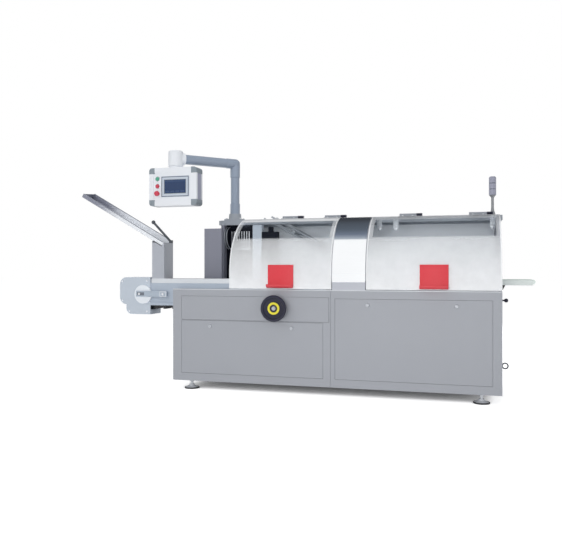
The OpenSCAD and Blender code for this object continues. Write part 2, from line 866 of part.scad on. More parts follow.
// A post turning in the base, with a sleeve at its foot, a cast corner and the tube to the coupling.
module arm() {
    spigot = [22, base_h + 1];
    sleeve_h = 91;
    collar_h = 33;
    lip = 5;
    collar_z = arm_up - elbow - collar_h;
    reach = arm_l - coupling_r - 12;
    color(arm_grey) place() translate([post_x, post_y, roof_h]) {
        rotate_extrude() polygon([[0, spigot[0]], [arm_bore, spigot[0]], [arm_bore, spigot[1]],
            [arm_r, spigot[1]], [arm_r, spigot[1] + sleeve_h - lip], [tube_r, spigot[1] + sleeve_h],
            [tube_r, collar_z - lip], [arm_r, collar_z], [arm_r, arm_up], [0, arm_up]]);
        translate([0, 0, arm_up]) {
            sphere(r = arm_r);
            rotate([0, 90, 180 + arm_dir]) rotate_extrude() polygon([[0, 0], [arm_r, 0], [arm_r, elbow],
                [arm_r - lip / 2, elbow + lip], [arm_r - lip / 2, reach], [0, reach]]);
        }
    }
}

module arm_coupling() {
    h = coupling_z[1] - coupling_z[0];
    edge_r = 18;
    socket = [50, coupling_r + 12];
    bore_h = 61;
    color(white) place() translate([hmi_x, hmi_y, coupling_z[0]]) difference() {
        union() {
            rotate_extrude() {
                square([coupling_r, h - edge_r]);
                square([coupling_r - edge_r, h]);
                translate([coupling_r - edge_r, h - edge_r]) circle(edge_r);
            }
            translate([0, 0, arm_z - coupling_z[0]]) rotate([0, 90, arm_dir])
                cylinder(r = socket[0], h = socket[1]);
        }
        translate([0, 0, -1]) cylinder(r = swivel_r + run_gap, h = bore_h + 1);
    }
}

module hmi_outline() { translate([-hmi_w / 2, -hmi_h]) rounded_rect([hmi_w, hmi_h], cap / 2); }

module hmi_corner_squares() {
    for (x = [-hmi_w / 2, hmi_w / 2 - cap], z = [-hmi_h, -cap]) translate([x, z]) square(cap);
}

module at_hmi() { place() translate([hmi_x, hmi_y, hmi_z]) children(); }

// A case of four edge profiles with a sunk face and sunk sides, hung on its swivel.
module panel_box() {
    half = hmi_d / 2;
    rim = 40;
    side_in = 3;
    side_rim = 24;
    boss_r = 56;
    top_gap = 0.5;
    color(white) at_hmi() {
        difference() {
            along_y([-half, half]) difference() {
                hmi_outline();
                hmi_corner_squares();
            }
            box([rim - hmi_w / 2, hmi_w / 2 - rim], [-half - 1, -half + face_in], [rim - hmi_h, -rim]);
            for (side = [-1, 1]) translate([side * hmi_w / 2, 0, 0])
                box([-side_in, side_in], [side_rim - half, half - side_rim], [-hmi_h, 0]);
        }
        cylinder(r = boss_r, h = coupling_z[0] - hmi_z - top_gap);
        cylinder(r = swivel_r, h = coupling_z[0] - hmi_z + 54);
    }
}

module panel_corners() {
    color(corner_grey) at_hmi() along_y([-hmi_d / 2, hmi_d / 2]) intersection() {
        hmi_outline();
        hmi_corner_squares();
    }
}

module hmi_face(size, y) {
    box([bezel_x - size.x / 2, bezel_x + size.x / 2], y, [-hmi_h / 2 - size.y / 2, -hmi_h / 2 + size.y / 2]);
}

module panel_bezel() {
    y = -hmi_d / 2 + face_in;
    color(bezel_grey) at_hmi() difference() {
        hmi_face(bezel, [y - bezel_t, y]);
        hmi_face(screen, [y - bezel_t - 1, y - bezel_t + 4]);
    }
}

module panel_screen() {
    y = -hmi_d / 2 + face_in - bezel_t + 4;
    color(screen_blue) at_hmi() hmi_face(screen, [y - 3, y]);
}

// A round control on the panel's face: a collar and a cap turned from one profile.
module panel_button(z, profile) {
    at_hmi() translate([controls_x - hmi_w / 2, -hmi_d / 2 + face_in, z - hmi_h]) rotate([90, 0, 0])
        rotate_extrude() polygon(profile);
}
module panel_start_button() { color(green) panel_button(226, button); }
module panel_stop_button() { color(red) panel_button(165, button); }
module panel_emergency_stop() { color(red) panel_button(103, mushroom); }

// A turned foot and stem with three lenses and a cap.
module signal_tower() {
    base = [26, 34];
    stem = [11, 141];
    lens = [28, 43];
    ring = [25, 4];
    cap_h = 8;
    lens_z = stem[1] + 22;
    pitch = lens[1] + ring[1];
    color(tower_grey) place() translate([cab_l - 45, roof_y + 60, roof_h]) rotate_extrude() {
        polygon([[0, 0], [base[0], 0], [base[0] - 3, base[1] / 4], [stem[0] + 3, base[1]],
            [stem[0], base[1] + 26], [stem[0], stem[1]], [lens[0], lens_z], [0, lens_z]]);
        for (i = [0 : 2]) translate([0, lens_z + i * pitch]) {
            square([lens[0], lens[1]]);
            translate([0, -ring[1]]) square([ring[0], ring[1]]);
        }
        translate([0, lens_z + 3 * pitch - ring[1]])
            polygon([[0, 0], [lens[0], 0], [lens[0] - cap_h, cap_h], [0, cap_h]]);
    }
}

// Outlet belt conveyor

// Side rails with the rollers, the bed under the belt and the gussets on the cabinet's end.
module outlet_conveyor() {
    rail_t = outlet_rail[0];
    rail_z = [outlet_z - outlet_rail[2] - outlet_rail[1], outlet_z - outlet_rail[2]];
    rail_x = [cab_l, x_high - belt_in];
    color(pale) place() {
        for (y = [lane_y[0] - rail_t, lane_y[1]]) {
            box(rail_x, [y, y + rail_t], rail_z);
            along_y([y, y + rail_t]) polygon([[cab_l, table_h - gusset.y],
                [cab_l + gusset.x, rail_z[0] + eps], [cab_l, rail_z[0] + eps]]);
        }
        for (x = belt_x) rod_y(x, belt_z, roller_r, [lane_y[0] - eps, lane_y[1] + eps]);
        box([belt_x[0] + bed_in, belt_x[1] - bed_in], [lane_y[0] - eps, lane_y[1] + eps],
            [belt_z + roller_r - bed_t, belt_z + roller_r]);
    }
}

module belt_outline(r) {
    for (x = belt_x) translate([x, belt_z]) circle(r);
    translate([belt_x[0], belt_z - r]) square([belt_x[1] - belt_x[0], 2 * r]);
}

module outlet_belt() {
    edge = 4;
    color(belt_green) place() along_y([lane_y[0] + edge, lane_y[1] - edge]) difference() {
        belt_outline(roller_r + belt_t);
        belt_outline(roller_r);
    }
}

cabinet_body();
table_top();
upper_front_panel();
lower_front_panel();
right_front_panel();
rear_panels();
panel_latches();
levelling_feet();
wheel_bearing();
handwheel();
handwheel_ring();
handwheel_hub();
end_knob();
end_ring();
hood_roof();
hood_rear_wall();
hood_beams();
hood_left_post();
hood_right_end();
centre_cover();
centre_base();
hinge_blocks();
stay_brackets();
left_guard();
left_guard_hinges();
left_guard_handle();
right_guard();
right_guard_hinges();
right_guard_handle();
folder_housing();
leaflet_folder();
folder_fingers();
magazine_post();
carton_magazine();
carton_feeder();
carton_lane();
conveyor_plates();
chain_wheels();
bucket_chain();
bucket_lugs();
conveyor_guides();
conveyor_end_cover();
idler_disc();
take_up_bar();
hopper();
infeed_trough();
trough_lever();
arm_base();
arm();
arm_coupling();
panel_box();
panel_corners();
panel_bezel();
panel_screen();
panel_start_button();
panel_stop_button();
panel_emergency_stop();
signal_tower();
outlet_conveyor();
outlet_belt();
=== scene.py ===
"""Looks of a horizontal automatic cartoner: finishes, small fittings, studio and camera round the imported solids."""

import logging
import math
from collections.abc import Mapping, Sequence
from dataclasses import dataclass
from enum import Enum

import bmesh
import bpy
from mathutils import Matrix, Vector


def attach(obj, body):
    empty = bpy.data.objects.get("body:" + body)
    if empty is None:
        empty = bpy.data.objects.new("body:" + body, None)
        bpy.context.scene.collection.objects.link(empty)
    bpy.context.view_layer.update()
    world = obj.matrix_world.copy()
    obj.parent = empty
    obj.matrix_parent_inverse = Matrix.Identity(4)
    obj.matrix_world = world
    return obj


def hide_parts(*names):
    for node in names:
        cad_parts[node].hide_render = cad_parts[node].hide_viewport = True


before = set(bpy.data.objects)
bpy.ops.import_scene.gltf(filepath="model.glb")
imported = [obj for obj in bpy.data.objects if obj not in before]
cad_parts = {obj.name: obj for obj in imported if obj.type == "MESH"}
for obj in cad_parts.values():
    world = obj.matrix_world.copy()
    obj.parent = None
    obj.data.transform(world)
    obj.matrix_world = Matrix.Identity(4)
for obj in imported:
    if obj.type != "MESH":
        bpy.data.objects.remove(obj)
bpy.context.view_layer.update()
LOG = logging.getLogger("cartoner")

Colour = tuple[float, float, float, float]
Point = tuple[float, float, float]
Pair = tuple[float, float]
Node = bpy.types.Node
NodeTree = bpy.types.NodeTree
Socket = bpy.types.NodeSocket
Material = bpy.types.Material
Piece = bpy.types.Object
Shape = bmesh.types.BMesh
Inputs = dict[str | int, object]
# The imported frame's origin, in millimetres of the part's drawing.
ORIGIN_MM: Point = (944.3, 414.5, 0.0)
# Largest angle between two faces that is shaded round.
SMOOTH_ANGLE = math.radians(35.0)
# Smallest angle between two faces of an extruded profile whose edge is rounded.
SHARP_ANGLE = 0.6


def srgb(red: int, green: int, blue: int) -> Colour:
    """Turn a display colour into the linear colour that a shader takes.

    Args:
        red: Red from 0 to 255.
        green: Green from 0 to 255.
        blue: Blue from 0 to 255.

    Returns:
        The linear colour with full opacity.
    """

    def linear(level: int) -> float:
        """Return one channel on a linear scale."""
        share = level / 255
        return share / 12.92 if share <= 0.04045 else ((share + 0.055) / 1.055) ** 2.4

    return linear(red), linear(green), linear(blue), 1.0


def at(x: float, y: float, z: float) -> Vector:
    """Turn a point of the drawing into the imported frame.

    Args:
        x: Millimetres from the cabinet's left end.
        y: Millimetres behind the cabinet's front face.
        z: Millimetres above the floor.

    Returns:
        The point in metres.
    """
    return (Vector((x, y, z)) - Vector(ORIGIN_MM)) / 1000


class Axis(Enum):
    """Direction of a turned piece or of a brushed grain."""

    X = (1.0, 0.0, 0.0)
    Y = (0.0, 1.0, 0.0)
    Z = (0.0, 0.0, 1.0)
    FRONT = (0.0, -1.0, 0.0)

    @property
    def vector(self) -> Vector:
        """Return the direction as a unit vector."""
        return Vector(self.value)


class Graph:
    """A shader node tree with short calls that add and join nodes."""

    def __init__(self, tree: NodeTree) -> None:
        """Wrap the tree that takes the nodes."""
        self.tree = tree

    def feed(self, socket: Socket, value: object) -> None:
        """Link a socket to an output, or set its constant.

        Args:
            socket: The input socket.
            value: An output socket, or a number, vector or colour.
        """
        if isinstance(value, Socket):
            self.tree.links.new(value, socket)
        else:
            socket.default_value = value

    def fill(self, node: Node, inputs: Inputs) -> None:
        """Feed a node's inputs by name or number."""
        for key, value in inputs.items():
            self.feed(node.inputs[key], value)

    def node(self, kind: str, inputs: Inputs | None = None, **settings: object) -> Node:
        """Add one node.

        Args:
            kind: The node's type name.
            inputs: What its inputs are fed with, by name or number.
            **settings: Properties set on the node before that.

        Returns:
            The new node.
        """
        made = self.tree.nodes.new(kind)
        for key, value in settings.items():
            setattr(made, key, value)
        self.fill(made, inputs or {})
        return made

    def math(self, operation: str, *values: object, clamp: bool = False) -> Socket:
        """Return a math node's result, held between 0 and 1 where clamp is set."""
        return self.node("ShaderNodeMath", dict(enumerate(values)), operation=operation, use_clamp=clamp).outputs[0]

    def span(self, value: object, low: float, high: float, to_low: float, to_high: float) -> Socket:
        """Map a value from the range low to high to the range to_low to to_high, held at its ends."""
        inputs = dict(enumerate((value, low, high, to_low, to_high)))
        return self.node("ShaderNodeMapRange", inputs, clamp=True).outputs[0]

    def blend(self, share: object, first: object, second: object) -> Socket:
        """Mix two colours by the share of the second."""
        return self.node("ShaderNodeMix", {0: share, 6: first, 7: second}, data_type="RGBA").outputs[2]

    def noise(self, vector: object, scale: object, detail: float = 3.0, roughness: float = 0.5) -> Socket:
        """Return a noise pattern's value; detail counts its finer layers, and roughness is their strength."""
        inputs = {"Vector": vector, "Scale": scale, "Detail": detail, "Roughness": roughness}
        return self.node("ShaderNodeTexNoise", inputs).outputs[0]

    def place(self, name: str = "Object") -> Socket:
        """Return a texture coordinate's socket by name."""
        return self.node("ShaderNodeTexCoord").outputs[name]

    def axes(self, vector: Socket) -> Sequence[Socket]:
        """Return a vector's x, y and z sockets."""
        return self.node("ShaderNodeSeparateXYZ", {0: vector}).outputs

    def swing(self, pattern: Socket, amount: object, level: object, clamp: bool = False) -> Socket:
        """Swing a level up and down by an amount with a pattern from 0 to 1."""
        return self.math("MULTIPLY_ADD", self.math("SUBTRACT", pattern, 0.5), amount, level, clamp=clamp)

    def stretched(self, vector: Socket, factors: object) -> Socket:
        """Return a vector with each axis multiplied by its own factor."""
        return self.node("ShaderNodeVectorMath", {0: vector, 1: factors}, operation="MULTIPLY").outputs[0]

    def scaled(self, colour: Socket, tone: Socket) -> Socket:
        """Return a colour made lighter or darker by one factor."""
        return self.node("ShaderNodeVectorMath", {0: colour, "Scale": tone}, operation="SCALE").outputs[0]

    def layered(self, share: Socket, first: Node, second: Node, output: Node) -> None:
        """Mix two shaders by the share of the second and lead them to the output."""
        mix = self.node("ShaderNodeMixShader", {0: share, 1: first.outputs[0], 2: second.outputs[0]})
        self.feed(output.inputs["Surface"], mix.outputs[0])


class Effects:
    """The shader groups that several finishes share, each built once."""

    @staticmethod
    def _open(name: str, inputs: dict[str, object]) -> tuple[Graph, Mapping[str, Socket], Node]:
        """Start a group with its inputs and the three usual outputs.

        Args:
            name: The group's name.
            inputs: Default of each input: a number, a vector or a colour.

        Returns:
            The group's graph, its inputs' sockets and its output node.
        """
        tree = bpy.data.node_groups.new(name, "ShaderNodeTree")
        for label, default in inputs.items():
            kind = "NodeSocketFloat"
            if isinstance(default, tuple):
                kind = "NodeSocketColor" if len(default) == 4 else "NodeSocketVector"
            tree.interface.new_socket(name=label, in_out="INPUT", socket_type=kind).default_value = default
        for label, kind in (("Colour", "Color"), ("Roughness", "Float"), ("Height", "Float")):
            tree.interface.new_socket(name=label, in_out="OUTPUT", socket_type=f"NodeSocket{kind}")
        graph = Graph(tree)
        return graph, graph.node("NodeGroupInput").outputs, graph.node("NodeGroupOutput")

    @classmethod
    def paint_film(cls) -> NodeTree:
        """Build the sprayed film: faint orange peel, cloudy tone and uneven gloss.

        Returns:
            The shader group.
        """
        if found := bpy.data.node_groups.get("paint_film"):
            return found
        graph, given, out = cls._open("paint_film", {
            "Colour": (0.5, 0.5, 0.5, 1.0), "Roughness": 0.4, "Mottle": 0.05, "Peel Scale": 260.0, "Dust": 0.0})
        place = graph.place()
        cloud = graph.noise(place, 2.3, 4.0, 0.55)
        toned = graph.scaled(given["Colour"], graph.swing(cloud, given["Mottle"], 1.0))
        lying = graph.span(graph.axes(graph.place("Normal"))[2], 0.6, 1.0, 0.0, 1.0)
        speck = graph.span(graph.noise(place, 9.0, 6.0, 0.7), 0.35, 0.75, 0.2, 1.0)
        dust = graph.math("MULTIPLY", graph.math("MULTIPLY", lying, speck), given["Dust"], clamp=True)
        uneven = graph.swing(graph.noise(place, 6.0, 5.0, 0.6), 0.16, given["Roughness"])
        graph.fill(out, {
            "Colour": graph.blend(dust, toned, (0.62, 0.62, 0.60, 1.0)),
            "Roughness": graph.math("MULTIPLY_ADD", dust, 0.4, uneven, clamp=True),
            "Height": graph.noise(place, given["Peel Scale"], 2.0)})
        return graph.tree

    @classmethod
    def brushed_grain(cls) -> NodeTree:
        """Build the brushed metal grain: long streaks in tone, gloss and relief.

        Returns:
            The shader group.
        """
        if found := bpy.data.node_groups.get("brushed_grain"):
            return found
        graph, given, out = cls._open("brushed_grain", {
            "Colour": (0.7, 0.7, 0.7, 1.0), "Roughness": 0.3, "Contrast": 0.2, "Stretch": (4.0, 400.0, 400.0)})
        place = graph.place()
        streak = graph.noise(graph.stretched(place, given["Stretch"]), 1.0, 4.0, 0.6)
        stain = graph.swing(graph.noise(place, 3.1, 3.0, 0.5), 0.10, 0.0)
        change = graph.swing(streak, given["Contrast"], stain)
        graph.fill(out, {
            "Colour": graph.scaled(given["Colour"], graph.math("ADD", change, 1.0)),
            "Roughness": graph.math("ADD", given["Roughness"], change, clamp=True),
            "Height": streak})
        return graph.tree

    @classmethod
    def moulded_skin(cls) -> NodeTree:
        """Build the moulded plastic skin: fine pebble, slight flow marks and a soft gloss change.

        Returns:
            The shader group.
        """
        if found := bpy.data.node_groups.get("moulded_skin"):
            return found
        graph, given, out = cls._open("moulded_skin", {
            "Colour": (0.5, 0.5, 0.5, 1.0), "Roughness": 0.4, "Mottle": 0.06, "Pebble Scale": 900.0})
        place = graph.place()
        flow = graph.noise(place, 14.0, 3.0, 0.5)
        pebble = graph.noise(place, given["Pebble Scale"], 2.0, 0.4)
        graph.fill(out, {
            "Colour": graph.scaled(given["Colour"], graph.swing(flow, given["Mottle"], 1.0)),
            "Roughness": graph.swing(pebble, 0.2, given["Roughness"], clamp=True),
            "Height": pebble})
        return graph.tree


@dataclass(frozen=True)
class Finish:
    """A finish that turns into one material, shared by every piece that has it."""

    name: str
    colour: Colour
    roughness: float

    def material(self) -> Material:
        """Return the finish's material, built the first time it is asked for."""
        return bpy.data.materials.get(self.name) or self._build()

    def _start(self) -> tuple[Material, Graph, Node]:
        """Open a material with a bare Principled shader.

        Returns:
            The material, its graph and its Principled node.
        """
        made = bpy.data.materials.new(self.name)
        made.use_nodes = True
        made.diffuse_color = self.colour
        return made, Graph(made.node_tree), made.node_tree.nodes["Principled BSDF"]

    def _skin(self, graph: Graph, shader: Node, tree: NodeTree, bump: Pair, inputs: Inputs) -> None:
        """Place a shared effect and lead it into the shader.

        Args:
            graph: The material's graph.
            shader: Its Principled node.
            tree: The shared effect's group.
            bump: Strength of the bump and its depth in metres.
            inputs: The group's inputs by name, beside colour and roughness.
        """
        group = graph.node("ShaderNodeGroup", node_tree=tree)
        graph.fill(group, {"Colour": self.colour, "Roughness": self.roughness, **inputs})
        relief = {"Strength": bump[0], "Distance": bump[1], "Height": group.outputs["Height"]}
        graph.fill(shader, {
            "Base Color": group.outputs["Colour"], "Roughness": group.outputs["Roughness"],
            "Normal": graph.node("ShaderNodeBump", relief).outputs["Normal"]})

    def _build(self) -> Material:
        """Build the material; each kind of finish has its own way."""
        raise NotImplementedError


@dataclass(frozen=True)
class Paint(Finish):
    """Sprayed and stoved paint on sheet metal or castings."""

    mottle: float = 0.06
    peel: float = 0.10
    coat: float = 0.25
    dust: float = 0.0
    shine: float = 0.5

    def _build(self) -> Material:
        """Build the painted material.

        Returns:
            The material.
        """
        made, graph, shader = self._start()
        film = {"Mottle": self.mottle, "Dust": self.dust}
        self._skin(graph, shader, Effects.paint_film(), (self.peel, 0.0004), film)
        graph.fill(shader, {"Specular IOR Level": self.shine, "Coat Weight": self.coat, "Coat Roughness": 0.12})
        return made


@dataclass(frozen=True)
class TwoTonePaint(Paint):
    """Paint with another tone below a height or, where none is set, on the faces that look to the rear."""

    other: Colour = (0.3, 0.3, 0.3, 1.0)
    split_z: float | None = None
    split_soft: float = 0.0005

    def _share(self, graph: Graph) -> Socket:
        """Work out where the other tone goes.

        Args:
            graph: The material's graph.

        Returns:
            The share of the other tone from 0 to 1.
        """
        if self.split_z is None:
            # On the hood's rear wall this leaves the near-white painted light on every face that does not look to the
            # rear.
            return graph.span(graph.axes(graph.place("Normal"))[1], 0.4, 0.6, 0.0, 1.0)
        height = graph.axes(graph.place())[2]
        return graph.span(height, self.split_z - self.split_soft, self.split_z + self.split_soft, 1.0, 0.0)

    def _build(self) -> Material:
        """Build the paint and bring in its other tone.

        Returns:
            The material.
        """
        made = super()._build()
        graph = Graph(made.node_tree)
        film = next(node for node in made.node_tree.nodes if node.type == "GROUP")
        graph.feed(film.inputs["Colour"], graph.blend(self._share(graph), self.colour, self.other))
        return made


@dataclass(frozen=True)
class Metal(Finish):
    """Bare metal with a drawn grain."""

    grain: Axis = Axis.X
    contrast: float = 0.25
    relief: float = 0.05
    metallic: float = 1.0

    def _build(self) -> Material:
        """Build the metal's material.

        Returns:
            The material.
        """
        made, graph, shader = self._start()
        fine, drawn = 420.0, 3.0
        stretch = tuple(drawn if abs(share) > 0.5 else fine for share in self.grain.value)
        grain = {"Contrast": self.contrast, "Stretch": stretch}
        self._skin(graph, shader, Effects.brushed_grain(), (self.relief, 0.0002), grain)
        graph.fill(shader, {"Metallic": self.metallic})
        return made


@dataclass(frozen=True)
class DarkEndMetal(Metal):
    """Bare metal that turns darker along x towards one end, in ragged streaks."""

    end_tone: Colour = (0.2, 0.2, 0.2, 1.0)
    start: float = 0.0
    end: float = 1.0

    def _build(self) -> Material:
        """Build the metal and darken it along x up to where the dark span ends.

        Returns:
            The material.
        """
        made = super()._build()
        graph = Graph(made.node_tree)
        tone = made.node_tree.nodes["Principled BSDF"].inputs["Base Color"]
        streak = graph.noise(graph.stretched(graph.place(), (5.0, 60.0, 60.0)), 1.0, 3.0, 0.5)
        ragged = graph.swing(streak, 0.14, graph.axes(graph.place())[0])
        share = graph.span(ragged, self.start, self.end, 1.0, 0.0)
        graph.feed(tone, graph.blend(share, tone.links[0].from_socket, self.end_tone))
        return made


@dataclass(frozen=True)
class Moulded(Finish):
    """Moulded or turned plastic and rubber."""

    pebble: float = 900.0
    relief: float = 0.12
    mottle: float = 0.06
    coat: float = 0.0
    shine: float = 0.5

    def _build(self) -> Material:
        """Build the plastic's material.

        Returns:
            The material.
        """
        made, graph, shader = self._start()
        skin = {"Mottle": self.mottle, "Pebble Scale": self.pebble}
        self._skin(graph, shader, Effects.moulded_skin(), (self.relief, 0.0003), skin)
        graph.fill(shader, {"Specular IOR Level": self.shine, "Coat Weight": self.coat, "Coat Roughness": 0.08})
        return made


@dataclass(frozen=True)
class ClearSheet(Finish):
    """Bent clear acrylic: see-through and glossy, with bright sawn edges, painted highlights as white strips at its
    ends and along its top band, and a white cloudiness towards its foot that is partly real and partly a painted
    reflection of the white floor.
    """

    ends: Pair = (0.0, 1.0)
    strip: float = 0.034
    end_strip_highlight: float = 0.22
    line: float = 0.007
    end_line_highlight: float = 0.7
    mirror: float = 0.02
    foot_haze_and_reflection: float = 0.74
    arc_haze_and_reflection: float = 0.25
    top_highlight: float = 0.0
    foot_z: float = 0.815
    arc_z: float = 1.205
    top_z: float = 1.358

    def _haze_and_painted_light(self, graph: Graph) -> tuple[Socket, Socket]:
        """Work out how cloudy the sheet is at each place, with the painted highlights and the painted reflection laid
        in.

        Args:
            graph: The material's graph.

        Returns:
            The cloudiness with its painted highlights and painted reflection from 0 to 1, and the share of it that is
            the top band's painted highlight.
        """
        along, _, height = graph.axes(graph.place())
        facing = graph.axes(graph.place("Normal"))[0]
        # Below the arc the sheet turns whiter towards its foot, partly real cloudiness and partly a painted
        # reflection of the white floor, ending in a sharp step at the arc.
        lower = graph.span(height, self.foot_z, self.arc_z, self.foot_haze_and_reflection, self.arc_haze_and_reflection)
        upper = graph.span(height, self.arc_z, self.arc_z + 0.012, 0.0, self.arc_haze_and_reflection)
        smear = graph.span(graph.noise(graph.place(), 5.0, 5.0, 0.6), 0.3, 0.7, 0.9, 1.08)
        haze_and_painted_light = graph.math("MULTIPLY", graph.math("SUBTRACT", lower, upper), smear)
        # Painted highlight: a white band along the top of the sheet.
        top_highlight_share = graph.span(height, self.top_z - 0.004, self.top_z + 0.004, 0.0, self.top_highlight)
        low, high = self.ends
        reach = graph.math("MINIMUM", graph.math("SUBTRACT", along, low), graph.math("SUBTRACT", high, along))
        # Painted highlights: a white strip and a thin white line along both ends of the sheet.
        strip = graph.span(reach, self.strip, self.strip + 0.002, self.end_strip_highlight, 0.0)
        line = graph.span(reach, self.line, self.line + 0.002, self.end_line_highlight, 0.0)
        sawn = graph.span(graph.math("ABSOLUTE", facing), 0.8, 0.95, 0.0, 0.95)
        for layer in (top_highlight_share, strip, line, sawn):
            haze_and_painted_light = graph.math("MAXIMUM", haze_and_painted_light, layer)
        return haze_and_painted_light, top_highlight_share

    def _build(self) -> Material:
        """Build the clear sheet's material.

        Returns:
            The material.
        """
        made, graph, shader = self._start()
        # cloudy holds the sheet's real cloudiness together with its painted highlights and painted reflection.
        cloudy, top_highlight_share = self._haze_and_painted_light(graph)
        facing = graph.node("ShaderNodeLayerWeight", {"Blend": 0.5}).outputs["Facing"]
        gloss = graph.math("MULTIPLY_ADD", graph.math("POWER", facing, 5.0), 1.0 - self.mirror, self.mirror)
        # The top band's painted highlight takes the place of the sheet's gloss there.
        gloss = graph.math("MULTIPLY", gloss, graph.math("SUBTRACT", 1.0, top_highlight_share))
        total = graph.math("ADD", cloudy, gloss, clamp=True)
        path = graph.node("ShaderNodeLightPath").outputs
        lit = graph.math("MAXIMUM", path["Is Shadow Ray"], path["Is Diffuse Ray"])
        opaque = graph.math("MULTIPLY", total, graph.math("SUBTRACT", 1.0, lit))
        rubbed = graph.noise(graph.place(), 40.0)
        graph.fill(shader, {
            "Base Color": self.colour, "Metallic": graph.math("DIVIDE", gloss, total, clamp=True),
            "Roughness": graph.span(rubbed, 0.3, 0.7, self.roughness, self.roughness + 0.03)})
        clear = graph.node("ShaderNodeBsdfTransparent", {"Color": (0.975, 0.985, 0.99, 1.0)})
        graph.layered(opaque, clear, shader, made.node_tree.nodes["Material Output"])
        return made


class Shop:
    """The finishes of the machine, each named for where it is used."""

    CABINET = Paint("cabinet_grey_paint", srgb(165, 168, 175), 0.42, mottle=0.05, dust=0.15)
    HOOD = Paint("hood_grey_paint", srgb(160, 166, 174), 0.45, mottle=0.05, coat=0.2, dust=0.2)
    # Near white on the rear wall's inner faces is painted light that lifts the wall where the roof and the guards
    # shade it; hood grey goes on the faces that look to the rear.
    WALL_PAINTED_LIGHT = TwoTonePaint("hood_wall_painted_light_paint", srgb(248, 251, 255), 0.45, mottle=0.05, coat=0.2,
                          dust=0.1, other=srgb(160, 166, 174))
    HOUSING = Paint("folder_grey_paint", srgb(132, 134, 147), 0.5)
    BEAM = Paint("beam_grey_paint", srgb(160, 166, 175), 0.5)
    BASE = Paint("centre_pale_grey_paint", srgb(192, 195, 204), 0.45)
    PLATE = Paint("conveyor_plate_blue_grey", srgb(180, 191, 205), 0.42)
    CHUTE = Paint("hopper_grey_paint", srgb(178, 182, 191), 0.45)
    HINGE = Paint("hinge_grey_paint", srgb(150, 155, 163), 0.4)
    ARM = Paint("arm_blue_grey_paint", srgb(148, 160, 178), 0.38, peel=0.06, coat=0.3)
    PALE = Paint("conveyor_pale_paint", srgb(196, 205, 216), 0.40, coat=0.2)
    WHITE = Paint("panel_white_powder", srgb(238, 241, 246), 0.45, peel=0.2, coat=0.1)
    DARK = Paint("inner_dark_satin", srgb(15, 17, 27), 0.6, coat=0.0, shine=0.1)
    TABLE = Metal("table_brushed_steel", srgb(200, 203, 208), 0.32)
    COVER = Metal("centre_polished_steel", srgb(248, 250, 252), 0.10, contrast=0.05, relief=0.01)
    STEEL = Metal("trough_brushed_steel", srgb(205, 209, 214), 0.35)
    # The trough turns darker towards its upper end.
    TROUGH = DarkEndMetal("trough_satin_steel", srgb(236, 239, 244), 0.42, contrast=0.16, metallic=0.3,
                       end_tone=srgb(140, 143, 158), start=-1.70, end=-1.50)
    LATCH = Metal("latch_satin_steel", srgb(188, 191, 197), 0.35, grain=Axis.Z, contrast=0.15, metallic=0.5)
    FOOT = Metal("foot_satin_steel", srgb(214, 217, 222), 0.4, grain=Axis.Z, contrast=0.2, metallic=0.2)
    RING = Metal("ring_dark_steel", srgb(88, 92, 100), 0.35, grain=Axis.Z, contrast=0.15, metallic=0.5)
    HEM = Metal("trough_hem_steel", srgb(150, 153, 163), 0.4, contrast=0.2, metallic=0.4)
    ROD = Metal("magazine_rod_steel", srgb(182, 187, 193), 0.35, grain=Axis.Y, contrast=0.15, metallic=0.3)
    BAR = Metal("take_up_satin_steel", srgb(172, 183, 196), 0.4, contrast=0.15, metallic=0.3)
    UPRIGHT = Metal("bracket_brushed_steel", srgb(215, 218, 223), 0.30, grain=Axis.Z)
    BRIGHT = Metal("fitting_bright_plate", srgb(220, 222, 226), 0.18, grain=Axis.Z, contrast=0.1)
    BLACK = Moulded("wheel_black_plastic", srgb(36, 37, 54), 0.36, coat=0.06, shine=0.3)
    LEVER = Moulded("lever_grey_plastic", srgb(82, 86, 92), 0.45)
    CHAIN = Moulded("chain_black_plastic", srgb(40, 41, 46), 0.5)
    RED = Moulded("handle_red_plastic", srgb(222, 48, 62), 0.28, coat=0.4)
    STOP = Moulded("button_red_plastic", srgb(206, 58, 82), 0.3, coat=0.25)
    GREEN = Moulded("button_green_plastic", srgb(84, 170, 142), 0.3, coat=0.25)
    YELLOW = Moulded("ring_yellow_plastic", srgb(238, 226, 60), 0.35, coat=0.2)
    NYLON = Moulded("wheel_white_nylon", srgb(238, 243, 249), 0.45)
    CORNER = Moulded("corner_grey_plastic", srgb(140, 150, 158), 0.5)
    BEZEL = Moulded("bezel_grey_plastic", srgb(200, 208, 219), 0.45)
    SCREEN = Moulded("screen_navy_display", srgb(44, 64, 100), 0.22, pebble=2200.0, relief=0.01, coat=0.1,
                     shine=0.3)
    # Lavender grey of the panel's side plates: painted shade of the panel's sides.
    SIDE = Paint("panel_side_painted_shade", srgb(160, 162, 184), 0.45, peel=0.06)
    OUTLINE = Moulded("bezel_outline_grey", srgb(104, 115, 130), 0.5, shine=0.3)
    FIELD = Moulded("screen_field_blue", srgb(56, 77, 114), 0.3, pebble=2200.0, relief=0.01, coat=0.1,
                    shine=0.3)
    # Dark grey of the take-up bar's slot: painted shade of the opening.
    SLOT = Moulded("slot_painted_shade_grey", srgb(112, 118, 128), 0.5)
    TOWER = TwoTonePaint("tower_lavender_lens", srgb(158, 160, 178), 0.25, coat=0.3,
                         other=srgb(146, 148, 152), split_z=1.556)
    OUTLET = TwoTonePaint("outlet_pale_green_paint", srgb(238, 246, 243), 0.45,
                          other=srgb(30, 31, 36), split_z=0.8465)
    BELT = Moulded("outlet_green_belt", srgb(206, 226, 214), 0.6, pebble=500.0, relief=0.3)
